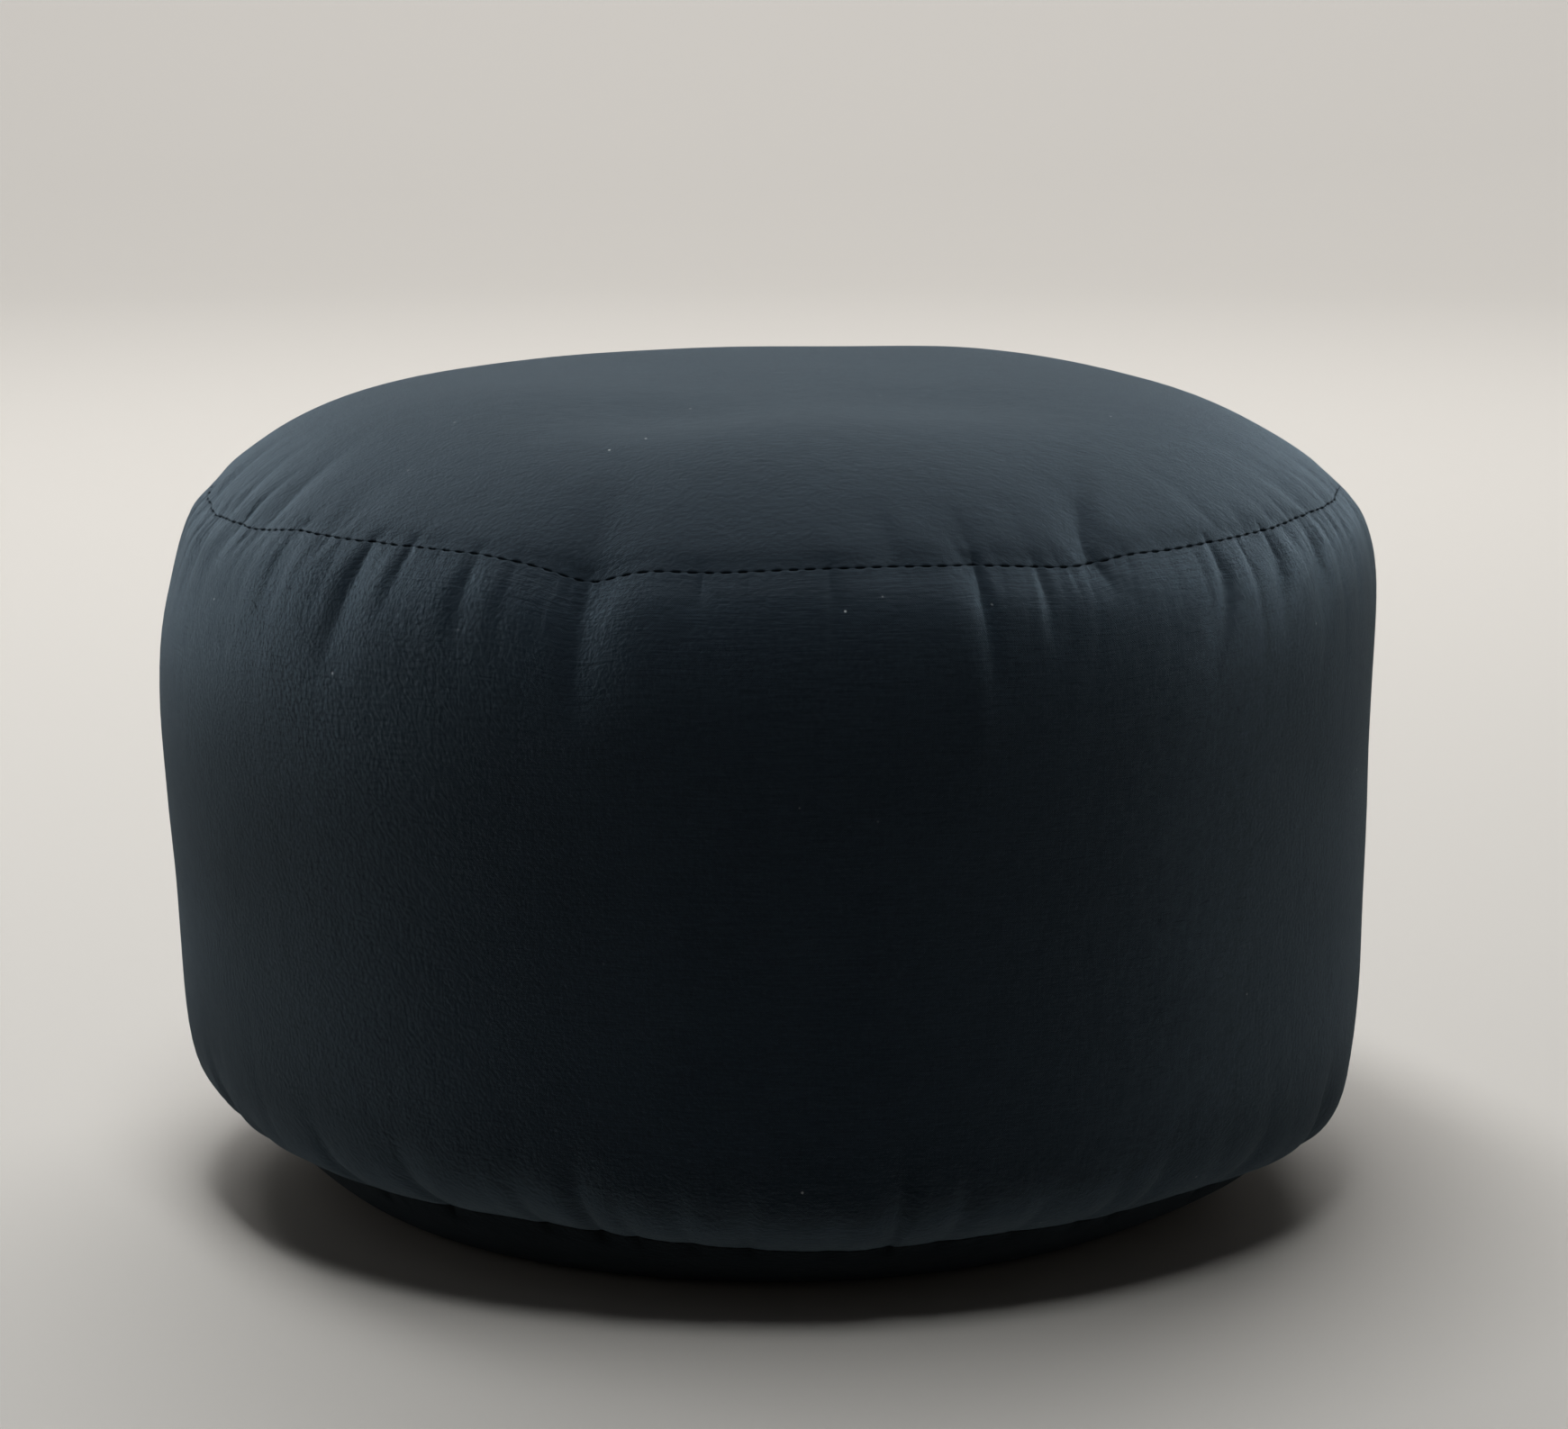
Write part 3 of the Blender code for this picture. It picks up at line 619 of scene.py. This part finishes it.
def buildShell(name, rows, clothRun):
    # joins rows of points into one closed skin; a row with fewer points meets one with more
    points, starts, counts, corners, sizes, runs = [], [], [], [], [], []
    total = 0
    for zone, seam, distance, inset, count in rows:
        azimuth = np.arange(count) * 360.0 / count
        points.append(clothPoint(zone, seam, distance, inset, azimuth))
        starts.append(total)
        counts.append(count)
        total += count
    for upper in range(len(rows) - 1):
        many, few = upper, upper + 1
        flipped = counts[many] < counts[few]
        if flipped:
            many, few = few, many
        countMany, countFew = counts[many], counts[few]
        if countFew == 1:
            columns = np.arange(countMany)
            loop = [(many, columns), (many, columns + 1), (few, np.zeros_like(columns))]
        else:
            ratio = countMany // countFew
            columns = np.arange(countFew)
            loop = [(many, columns * ratio + extra) for extra in range(ratio + 1)]
            loop += [(few, columns + 1), (few, columns)]
        if flipped:
            loop = loop[::-1]
        index = np.stack([starts[row] + column % counts[row] for row, column in loop], axis=1)
        corners.append(index.ravel())
        sizes.append(np.full(len(index), len(loop)))
        run = np.stack([clothRun(rows[row], column / counts[row]) for row, column in loop], axis=1)
        runs.append(run.reshape(-1, 2))
    allPoints = np.concatenate(points)
    allCorners, allSizes, allRuns = np.concatenate(corners), np.concatenate(sizes), np.concatenate(runs)
    ends = np.cumsum(allSizes)
    begins = ends - allSizes
    # turns the skin the right way out
    volume = 0.0
    for size in np.unique(allSizes):
        chosen = begins[allSizes == size]
        origin = allPoints[allCorners[chosen]]
        for step in range(1, size - 1):
            second = allPoints[allCorners[chosen + step]]
            third = allPoints[allCorners[chosen + step + 1]]
            volume += np.sum(origin * np.cross(second, third))
    if volume < 0.0:
        order = np.concatenate([np.arange(end - 1, begin - 1, -1) for begin, end in zip(begins, ends)])
        allCorners, allRuns = allCorners[order], allRuns[order]
    mesh = bpy.data.meshes.new(name)
    mesh.vertices.add(len(allPoints))
    mesh.vertices.foreach_set("co", allPoints.ravel())
    mesh.loops.add(len(allCorners))
    mesh.loops.foreach_set("vertex_index", allCorners)
    mesh.polygons.add(len(allSizes))
    mesh.polygons.foreach_set("loop_start", begins)
    mesh.update(calc_edges=True)
    mesh.validate()
    layer = mesh.uv_layers.new(name="clothRun")
    layer.data.foreach_set("uv", allRuns.ravel())
    mesh.shade_smooth()
    piece = bpy.data.objects.new(name, mesh)
    bpy.context.scene.collection.objects.link(piece)
    print(name, "points", len(allPoints), "triangles", int(np.sum(allSizes - 2)))
    return piece


def bandRun(row, turn):
    # the strip unrolled: metres round the cushion, metres down from the top seam
    seam, distance = row[1], row[2]
    down = distance * mm if seam == "top" else profiles["band"]["run"] - distance * mm
    across = turn * math.tau * form["bellyRadius"]
    return np.stack((across, np.full_like(across, down)), axis=1)


def panelRun(row, turn):
    # a panel is a disc cut flat from the cloth
    zone, distance = row[0], row[2]
    flat = max(0.0, profiles[zone]["run"] - distance * mm)
    turned = turn * math.tau
    return np.stack((flat * np.sin(turned), -flat * np.cos(turned)), axis=1)


def centreOnOrigin(pieces):
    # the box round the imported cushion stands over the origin; ours slides the same way
    low, high = np.full(2, np.inf), np.full(2, -np.inf)
    for piece in pieces:
        found = np.empty(len(piece.data.vertices) * 3)
        piece.data.vertices.foreach_get("co", found)
        found = found.reshape(-1, 3)[:, :2]
        low, high = np.minimum(low, found.min(axis=0)), np.maximum(high, found.max(axis=0))
    return (low + high) / 2.0


def slide(pieces, offset):
    for piece in pieces:
        found = np.empty(len(piece.data.vertices) * 3)
        piece.data.vertices.foreach_get("co", found)
        found = found.reshape(-1, 3)
        found[:, 0] -= offset[0]
        found[:, 1] -= offset[1]
        piece.data.vertices.foreach_set("co", found.ravel())
        piece.data.update()


# side band and the filling between the panels; every row is a distance in mm from its seam
bandSettings = {
    "fill": 0.92,
    "coreRows": [4.0, 14.0, 32.0, 60.0, 100.0],
    "coreRim": 1.2,
    "lipInside": (0.12, 2.3),
    "shoulderRows": [6.0, 7.2],
    "upperRows": {"first": 8.6, "step": 1.5, "growth": 1.1, "widest": 5.0},
    "lowerRows": {"first": 6.2, "step": 1.3, "growth": 1.12, "widest": 5.0},
    "footRows": [5.0, 12.0, 20.0, 32.0, 70.0],
}


def buildBand():
    fine, middle, coarse = density["fine"], density["middle"], density["coarse"]
    crownRunMm = profiles["crown"]["run"] / mm
    baseRunMm = profiles["base"]["run"] / mm
    halfMm = profiles["band"]["run"] / mm / 2.0
    gap, coreRim = form["fillingGap"] / mm, bandSettings["coreRim"]
    upperRows = spacedRows(last=halfMm, **bandSettings["upperRows"])
    lowerRows = spacedRows(last=halfMm, **bandSettings["lowerRows"])
    rows = [("crown", "top", crownRunMm, gap, 1)]
    rows += [("crown", "top", distance, gap, coarse) for distance in reversed(bandSettings["coreRows"])]
    rows += [("crown", "top", coreRim, gap, middle), ("band", "top", *bandSettings["lipInside"], fine)]
    rows += [("band", "top", distance, inset, fine) for distance, inset in lipRows]
    rows += [("band", "top", distance, 0.0, fine) for distance in surfaceRows + bandSettings["shoulderRows"]]
    rows += [("band", "top", distance, 0.0, middle) for distance in upperRows]
    lower = [("band", "base", distance, 0.0, middle) for distance in lowerRows]
    lowerSeam = [("band", "base", *bandSettings["lipInside"], fine)]
    lowerSeam += [("band", "base", distance, inset, fine) for distance, inset in lipRows]
    lowerSeam += [("band", "base", distance, 0.0, fine) for distance in surfaceRows]
    rows += lower[::-1] + lowerSeam[::-1]
    rows += [("base", "base", coreRim, gap, middle)]
    rows += [("base", "base", distance, gap, coarse) for distance in bandSettings["footRows"]]
    rows += [("base", "base", baseRunMm, gap, 1)]
    return buildShell("bandCloth", rows, bandRun)


# top panel
topSettings = {
    "flat": (0.31, 0.31),
    "area": 0.0755,
    "shoulderRows": [6.0, 7.2, 8.4],
    "outerRows": {"first": 9.8, "last": 62.0, "step": 1.6, "growth": 1.1, "widest": 4.0},
    "innerRows": {"first": 62.0, "step": 5.0, "growth": 1.0, "widest": 5.0},
    "centre": 4.0,
    "underRim": 1.0,
    "underRows": [4.0, 9.0, 18.0, 32.0, 55.0, 85.0, 120.0],
}


def buildTop():
    fine, middle, coarse = density["fine"], density["middle"], density["coarse"]
    runMm = profiles["crown"]["run"] / mm
    thick = form["sheetThickness"] / mm
    innerRows = spacedRows(last=runMm - topSettings["centre"], **topSettings["innerRows"])
    rows = [("crown", "top", runMm, 0.0, 1)]
    outer = [("crown", "top", distance, inset, fine) for distance, inset in lipRows]
    outer += [("crown", "top", distance, 0.0, fine) for distance in surfaceRows + topSettings["shoulderRows"]]
    outer += [("crown", "top", distance, 0.0, middle) for distance in spacedRows(**topSettings["outerRows"])]
    outer += [("crown", "top", distance, 0.0, coarse) for distance in innerRows]
    rows += outer[::-1]
    rows += [("crown", "top", topSettings["underRim"], thick, middle)]
    rows += [("crown", "top", distance, thick, coarse) for distance in topSettings["underRows"]]
    rows += [("crown", "top", runMm, thick, 1)]
    return buildShell("topCloth", rows, panelRun)


# base panel
baseSettings = {
    "flat": (0.28, 0.28),
    "area": 0.0616,
    "outerRows": {"first": 6.2, "last": 34.0, "step": 1.4, "growth": 1.12, "widest": 3.0},
    "innerRows": [34.0, 46.0, 66.0, 92.0, 116.0],
    "underRim": 1.0,
    "underRows": [4.0, 9.0, 15.0, 22.0, 29.0, 36.0, 70.0],
}


def buildBase():
    fine, middle, coarse = density["fine"], density["middle"], density["coarse"]
    runMm = profiles["base"]["run"] / mm
    thick = form["sheetThickness"] / mm
    rows = [("base", "base", runMm, 0.0, 1)]
    outer = [("base", "base", distance, inset, fine) for distance, inset in lipRows]
    outer += [("base", "base", distance, 0.0, fine) for distance in surfaceRows]
    outer += [("base", "base", distance, 0.0, middle) for distance in spacedRows(**baseSettings["outerRows"])]
    outer += [("base", "base", distance, 0.0, coarse) for distance in baseSettings["innerRows"]]
    rows += outer[::-1]
    rows += [("base", "base", baseSettings["underRim"], thick, middle)]
    rows += [("base", "base", distance, thick, coarse) for distance in baseSettings["underRows"]]
    rows += [("base", "base", runMm, thick, 1)]
    return buildShell("baseCloth", rows, panelRun)


def buildStitches(name, seam, zoneAbove, zoneBelow):
    # each stitch is a short length of thread that dives into the seam at both ends
    count, rings, sides = stitching[seam]["count"], stitching["threadRings"], stitching["threadSides"]
    along = np.linspace(-0.5, 0.5, rings)
    azimuth = ((np.arange(count)[:, None] + 0.5 + along * stitching["threadShare"]) * 360.0 / count).ravel()
    fromMiddle = 2.0 * np.abs(along)
    dive = np.tile(fromMiddle ** stitching["divePower"], count)
    depth = stitching["threadDepth"] + (stitching["threadEndDepth"] - stitching["threadDepth"]) * dive
    outside = (clothPoint(zoneAbove, seam, 0.0, 0.0, azimuth) + clothPoint(zoneBelow, seam, 0.0, 0.0, azimuth)) / 2.0
    inside = (clothPoint(zoneAbove, seam, 0.0, 1.0, azimuth) + clothPoint(zoneBelow, seam, 0.0, 1.0, azimuth)) / 2.0
    inward = inside - outside
    inward /= np.linalg.norm(inward, axis=1)[:, None]
    middle = outside + inward * depth[:, None] * mm
    turned = np.radians(azimuth)
    forward = np.stack((np.cos(turned), np.sin(turned), np.zeros_like(turned)), axis=1)
    sideways = np.cross(forward, inward)
    taper = 1.0 - stitching["threadTaper"] * fromMiddle ** stitching["taperPower"]
    thickness = stitching["threadRadius"] * mm * np.tile(taper, count)
    angles = np.arange(sides) * math.tau / sides
    tube = middle[:, None, :] + thickness[:, None, None] * (
        np.cos(angles)[None, :, None] * inward[:, None, :] + np.sin(angles)[None, :, None] * sideways[:, None, :]
    )
    points = tube.reshape(-1, 3)
    faces = []
    for stitch in range(count):
        start = stitch * rings * sides
        for ring in range(rings - 1):
            for side in range(sides):
                here, there = start + ring * sides + side, start + ring * sides + (side + 1) % sides
                faces.append((here, here + sides, there + sides, there))
        faces.append(tuple(start + side for side in range(sides)))
        faces.append(tuple(start + (rings - 1) * sides + side for side in reversed(range(sides))))
    mesh = bpy.data.meshes.new(name)
    mesh.from_pydata(points.tolist(), [], faces)
    mesh.shade_smooth()
    piece = bpy.data.objects.new(name, mesh)
    bpy.context.scene.collection.objects.link(piece)
    print(name, "stitches", count, "faces", len(faces))
    return piece


# fine plain-weave cotton: colours are linear, sizes are mm on the cloth, a noise is its detail and roughness,
# and a tone is how much that layer lifts the cloth from the deep colour to the pale one
clothSettings = {
    "deepColour": (0.0018, 0.0044, 0.0080, 1.0),
    "paleColour": (0.0100, 0.0165, 0.0235, 1.0),
    "lintColour": (0.32, 0.34, 0.35, 1.0),
    "roughness": 0.86,
    "specular": 0.06,
    "sheen": 0.36,
    "sheenRoughness": 0.40,
    "sheenTint": (0.64, 0.84, 1.0, 1.0),
    "threadPitch": 0.42,
    "threadWander": 9.0,
    "weaveHeight": 0.07,
    "weaveTone": 0.03,
    "grainSize": 1.1,
    "grainNoise": (2.0, 0.6),
    "grainHeight": 0.34,
    "grainTone": 0.36,
    "slubLength": 9.0,
    "slubWidth": 0.8,
    "slubNoise": (3.0, 0.6),
    "slubHeight": 0.14,
    "warpSlubShare": 0.6,
    "weftSlubTone": 0.30,
    "warpSlubTone": 0.12,
    "crumpleSize": 6.0,
    "crumpleNoise": (4.0, 0.55),
    "crumpleHeight": 0.45,
    "mottleSize": 30.0,
    "mottleNoise": (5.0, 0.6),
    "mottleTone": 0.22,
    "contrast": (0.3, 0.7),
    "mottleContrast": (0.25, 0.75),
    "lintSpacing": 9.0,
    "lintSize": 0.42,
    "lintCore": 0.4,
    "lintChosen": (0.55, 1.0),
}
# the base panel is a darker, duller copy of the same cloth, to come nearer to the dark strip in the photo: painted
# shade for the strip that lies in the shadow where the cushion meets the floor
baseClothPaintedShade = {
    **clothSettings,
    "deepColour": (0.0010, 0.0016, 0.0022, 1.0),
    "paleColour": (0.0045, 0.0058, 0.0072, 1.0),
    "lintColour": (0.04, 0.04, 0.04, 1.0),
    "sheen": 0.10,
}


class NodeBench:
    # a short way to lay out and join nodes
    def __init__(self, material):
        self.tree = material.node_tree
        self.shader = self.tree.nodes["Principled BSDF"]

    def add(self, kind, **settings):
        node = self.tree.nodes.new(kind)
        for key, value in settings.items():
            setattr(node, key, value)
        return node

    def join(self, source, target):
        self.tree.links.new(source, target)

    def fill(self, socket, value):
        if isinstance(value, (int, float, tuple)):
            socket.default_value = value
        else:
            self.join(value, socket)

    def math(self, operation, first, second=0.0):
        node = self.add("ShaderNodeMath", operation=operation)
        self.fill(node.inputs[0], first)
        self.fill(node.inputs[1], second)
        return node.outputs[0]

    def ramp(self, value, low, high):
        node = self.add("ShaderNodeMapRange", interpolation_type="SMOOTHSTEP")
        self.fill(node.inputs["Value"], value)
        node.inputs["From Min"].default_value = low
        node.inputs["From Max"].default_value = high
        return node.outputs["Result"]

    def place(self, across, down):
        node = self.add("ShaderNodeCombineXYZ")
        self.fill(node.inputs[0], across)
        self.fill(node.inputs[1], down)
        return node.outputs[0]

    def noise(self, vector, detail=2.0, roughness=0.5):
        node = self.add("ShaderNodeTexNoise")
        node.inputs["Scale"].default_value = 1.0
        node.inputs["Detail"].default_value = detail
        node.inputs["Roughness"].default_value = roughness
        self.join(vector, node.inputs["Vector"])
        return node.outputs["Fac"]


def clothMaterial(name, settings):
    material = bpy.data.materials.new(name)
    material.use_nodes = True
    bench = NodeBench(material)
    shader = bench.shader
    run = bench.add("ShaderNodeUVMap", uv_map="clothRun")
    parts = bench.add("ShaderNodeSeparateXYZ")
    bench.join(run.outputs["UV"], parts.inputs[0])
    across, down = parts.outputs[0], parts.outputs[1]

    def scaled(acrossSize, downSize):
        # the place on the cloth, counted in these sizes
        return bench.place(
            bench.math("MULTIPLY", across, perMetre / settings[acrossSize]),
            bench.math("MULTIPLY", down, perMetre / settings[downSize]),
        )

    # thicker weft threads run a short way and fade out
    weftSlub = bench.noise(scaled("slubLength", "slubWidth"), *settings["slubNoise"])
    warpSlub = bench.noise(scaled("slubWidth", "slubLength"), *settings["slubNoise"])
    crumple = bench.noise(scaled("crumpleSize", "crumpleSize"), *settings["crumpleNoise"])
    mottle = bench.noise(scaled("mottleSize", "mottleSize"), *settings["mottleNoise"])
    grain = bench.noise(scaled("grainSize", "grainSize"), *settings["grainNoise"])
    # warp and weft cross in a plain weave, and wander so that no even pattern shows
    turns = math.tau * perMetre / settings["threadPitch"]
    warpWander = bench.math("MULTIPLY", grain, settings["threadWander"])
    weftWander = bench.math("MULTIPLY", weftSlub, settings["threadWander"])
    warp = bench.math("SINE", bench.math("ADD", bench.math("MULTIPLY", across, turns), warpWander))
    weft = bench.math("SINE", bench.math("ADD", bench.math("MULTIPLY", down, turns), weftWander))
    weave = bench.math("MULTIPLY", warp, weft)
    # colour
    tone = bench.math("MULTIPLY", bench.ramp(weftSlub, *settings["contrast"]), settings["weftSlubTone"])
    for layer, contrast, share in (
        (warpSlub, "contrast", "warpSlubTone"),
        (mottle, "mottleContrast", "mottleTone"),
        (grain, "contrast", "grainTone"),
    ):
        lifted = bench.math("MULTIPLY", bench.ramp(layer, *settings[contrast]), settings[share])
        tone = bench.math("ADD", tone, lifted)
    tone = bench.math("ADD", tone, bench.math("MULTIPLY", weave, settings["weaveTone"]))
    cloth = bench.add("ShaderNodeMix", data_type="RGBA")
    bench.join(tone, cloth.inputs["Factor"])
    cloth.inputs["A"].default_value = settings["deepColour"]
    cloth.inputs["B"].default_value = settings["paleColour"]
    # a few specks of lint
    speck = bench.add("ShaderNodeTexVoronoi", feature="F1", distance="EUCLIDEAN")
    speck.inputs["Scale"].default_value = 1.0
    bench.join(scaled("lintSpacing", "lintSpacing"), speck.inputs["Vector"])
    size = settings["lintSize"] / settings["lintSpacing"]
    dot = bench.math("SUBTRACT", 1.0, bench.ramp(speck.outputs["Distance"], size * settings["lintCore"], size))
    chosen = bench.add("ShaderNodeSeparateColor")
    bench.join(speck.outputs["Color"], chosen.inputs[0])
    dot = bench.math("MULTIPLY", dot, bench.ramp(chosen.outputs[0], *settings["lintChosen"]))
    colour = bench.add("ShaderNodeMix", data_type="RGBA")
    bench.join(dot, colour.inputs["Factor"])
    bench.join(cloth.outputs["Result"], colour.inputs["A"])
    colour.inputs["B"].default_value = settings["lintColour"]
    bench.join(colour.outputs["Result"], shader.inputs["Base Color"])
    # relief, in metres
    relief = bench.math("MULTIPLY", weave, settings["weaveHeight"] * mm)
    for layer, height in (
        (weftSlub, settings["slubHeight"]),
        (warpSlub, settings["slubHeight"] * settings["warpSlubShare"]),
        (crumple, settings["crumpleHeight"]),
        (grain, settings["grainHeight"]),
    ):
        relief = bench.math("ADD", relief, bench.math("MULTIPLY", layer, height * mm))
    bump = bench.add("ShaderNodeBump")
    bump.inputs["Strength"].default_value = 1.0
    bump.inputs["Distance"].default_value = 1.0
    bench.join(relief, bump.inputs["Height"])
    bench.join(bump.outputs["Normal"], shader.inputs["Normal"])
    shader.inputs["Roughness"].default_value = settings["roughness"]
    shader.inputs["Specular IOR Level"].default_value = settings["specular"]
    shader.inputs["Sheen Weight"].default_value = settings["sheen"]
    shader.inputs["Sheen Roughness"].default_value = settings["sheenRoughness"]
    shader.inputs["Sheen Tint"].default_value = settings["sheenTint"]
    return material


threadSettings = {
    "deep": (0.004, 0.005, 0.007, 1.0),
    "pale": (0.010, 0.012, 0.015, 1.0),
    "twist": 1500.0,
    "detail": 2.0,
    "twistHeight": 0.00005,
    "roughness": 0.62,
    "specular": 0.35,
}


def threadMaterial(name, settings):
    material = bpy.data.materials.new(name)
    material.use_nodes = True
    bench = NodeBench(material)
    place = bench.add("ShaderNodeTexCoord")
    fibres = bench.add("ShaderNodeTexNoise")
    fibres.inputs["Scale"].default_value = settings["twist"]
    fibres.inputs["Detail"].default_value = settings["detail"]
    bench.join(place.outputs["Object"], fibres.inputs["Vector"])
    tone = bench.add("ShaderNodeMix", data_type="RGBA")
    bench.join(fibres.outputs["Fac"], tone.inputs["Factor"])
    tone.inputs["A"].default_value = settings["deep"]
    tone.inputs["B"].default_value = settings["pale"]
    bench.join(tone.outputs["Result"], bench.shader.inputs["Base Color"])
    bump = bench.add("ShaderNodeBump")
    bump.inputs["Distance"].default_value = settings["twistHeight"]
    bench.join(fibres.outputs["Fac"], bump.inputs["Height"])
    bench.join(bump.outputs["Normal"], bench.shader.inputs["Normal"])
    bench.shader.inputs["Roughness"].default_value = settings["roughness"]
    bench.shader.inputs["Specular IOR Level"].default_value = settings["specular"]
    return material


bandCloth = buildBand()
topCloth = buildTop()
baseCloth = buildBase()
topStitches = buildStitches("topSeamStitches", "top", "crown", "band")
baseStitches = buildStitches("baseSeamStitches", "base", "base", "band")
cushionPieces = [bandCloth, topCloth, baseCloth, topStitches, baseStitches]
slide(cushionPieces, centreOnOrigin([bandCloth]))
print("cushion pieces built")

cottonCloth = clothMaterial("blueBlackCotton", clothSettings)
sewingThread = threadMaterial("blackSewingThread", threadSettings)
for piece in (bandCloth, topCloth):
    piece.data.materials.append(cottonCloth)
# painted shade: the base panel takes the darker, shaded copy of the cotton
baseCloth.data.materials.append(clothMaterial("baseCottonPaintedShade", baseClothPaintedShade))
for piece in (topStitches, baseStitches):
    piece.data.materials.append(sewingThread)
print("materials made")

for piece in cushionPieces:
    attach(piece, "root")
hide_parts("side_band")
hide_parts("top_panel")
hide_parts("base_panel")
print("pieces declared")

# plain pale studio floor that sweeps up all round, far from the cushion
floorSettings = {
    "colour": (0.285, 0.272, 0.255, 1.0),
    "roughness": 0.7,
    "specular": 0.2,
    "flatRadius": 2.3,
    "innerShare": 0.5,
    "sweepRadius": 0.9,
    "sweepSteps": 12,
    "wallHeight": 2.2,
    "drop": 0.0002,
    "sides": 96,
}


def buildFloor(settings):
    flat, sweep, steps = settings["flatRadius"], settings["sweepRadius"], settings["sweepSteps"]
    outline = [(0.0, 0.0), (flat * settings["innerShare"], 0.0), (flat, 0.0)]
    for step in range(1, steps + 1):
        turned = step / steps * math.pi / 2.0
        outline.append((flat + sweep * math.sin(turned), sweep * (1.0 - math.cos(turned))))
    outline.append((flat + sweep, settings["wallHeight"]))
    sides = settings["sides"]
    points = [(0.0, 0.0, -settings["drop"])]
    for radius, height in outline[1:]:
        for side in range(sides):
            turned = side * math.tau / sides
            points.append((radius * math.cos(turned), radius * math.sin(turned), height - settings["drop"]))
    faces = [(0, 1 + side, 1 + (side + 1) % sides) for side in range(sides)]
    for row in range(len(outline) - 2):
        start = 1 + row * sides
        for side in range(sides):
            here, there = start + side, start + (side + 1) % sides
            faces.append((here, here + sides, there + sides, there))
    mesh = bpy.data.meshes.new("studioFloor")
    mesh.from_pydata(points, [], faces)
    mesh.shade_smooth()
    floor = bpy.data.objects.new("studioFloor", mesh)
    bpy.context.scene.collection.objects.link(floor)
    material = bpy.data.materials.new("palePaint")
    material.use_nodes = True
    shader = material.node_tree.nodes["Principled BSDF"]
    shader.inputs["Base Color"].default_value = settings["colour"]
    shader.inputs["Roughness"].default_value = settings["roughness"]
    shader.inputs["Specular IOR Level"].default_value = settings["specular"]
    mesh.materials.append(material)
    return floor


buildFloor(floorSettings)

# soft studio light: name, place, aimed at, width, depth, watts, colour
lightSettings = {
    "softCeiling": ((-0.1, 1.3, 1.4), (0.0, 0.0, 0.15), 2.0, 1.0, 28.0, (1.0, 0.99, 0.97)),
    "overhead": ((-0.15, -0.14, 1.5), (-0.02, -0.08, 0.0), 1.3, 0.30, 27.0, (0.97, 0.99, 1.0)),
    "leftWindow": ((-1.6, -0.25, 1.0), (0.0, 0.0, 0.12), 1.5, 1.4, 2.45, (0.97, 0.99, 1.0)),
    "rightFill": ((1.7, -0.20, 0.95), (0.0, 0.0, 0.1), 1.5, 1.4, 1.05, (0.98, 0.99, 1.0)),
    "wallWash": ((0.0, 1.7, 2.3), (0.0, 2.9, 0.4), 3.2, 0.6, 130.0, (1.0, 1.0, 1.0)),
}
worldSettings = {"colour": (0.82, 0.92, 1.0, 1.0), "strength": 0.02}
bpy.context.scene.view_settings.view_transform = "Standard"


def addLight(name, place, target, width, depth, watts, colour):
    lamp = bpy.data.lights.new(name, "AREA")
    lamp.shape = "RECTANGLE"
    lamp.size, lamp.size_y, lamp.energy, lamp.color = width, depth, watts, colour
    holder = bpy.data.objects.new(name, lamp)
    holder.location = place
    aim = [there - here for here, there in zip(place, target)]
    flat = math.hypot(aim[0], aim[1])
    holder.rotation_euler = (math.atan2(flat, -aim[2]), 0.0, math.atan2(-aim[0], aim[1]))
    bpy.context.scene.collection.objects.link(holder)


for name, values in lightSettings.items():
    addLight(name, *values)
world = bpy.data.worlds.new("paleRoom")
world.use_nodes = True
world.node_tree.nodes["Background"].inputs["Color"].default_value = worldSettings["colour"]
world.node_tree.nodes["Background"].inputs["Strength"].default_value = worldSettings["strength"]
bpy.context.scene.world = world

cameraSettings = {
    "place": (0.0043, -1.10, 0.3266),
    "pitch": 10.93,
    "lens": 102.77,
    "sensor": 36.0,
    "clipStart": 0.05,
}
lens = bpy.data.cameras.new("photoCamera")
lens.sensor_fit = "HORIZONTAL"
lens.sensor_width = cameraSettings["sensor"]
lens.lens = cameraSettings["lens"]
lens.clip_start = cameraSettings["clipStart"]
camera = bpy.data.objects.new("photoCamera", lens)
camera.location = cameraSettings["place"]
camera.rotation_euler = (math.radians(90.0 - cameraSettings["pitch"]), 0.0, 0.0)
bpy.context.scene.collection.objects.link(camera)
bpy.context.scene.camera = camera
print("stage, lights and camera ready")
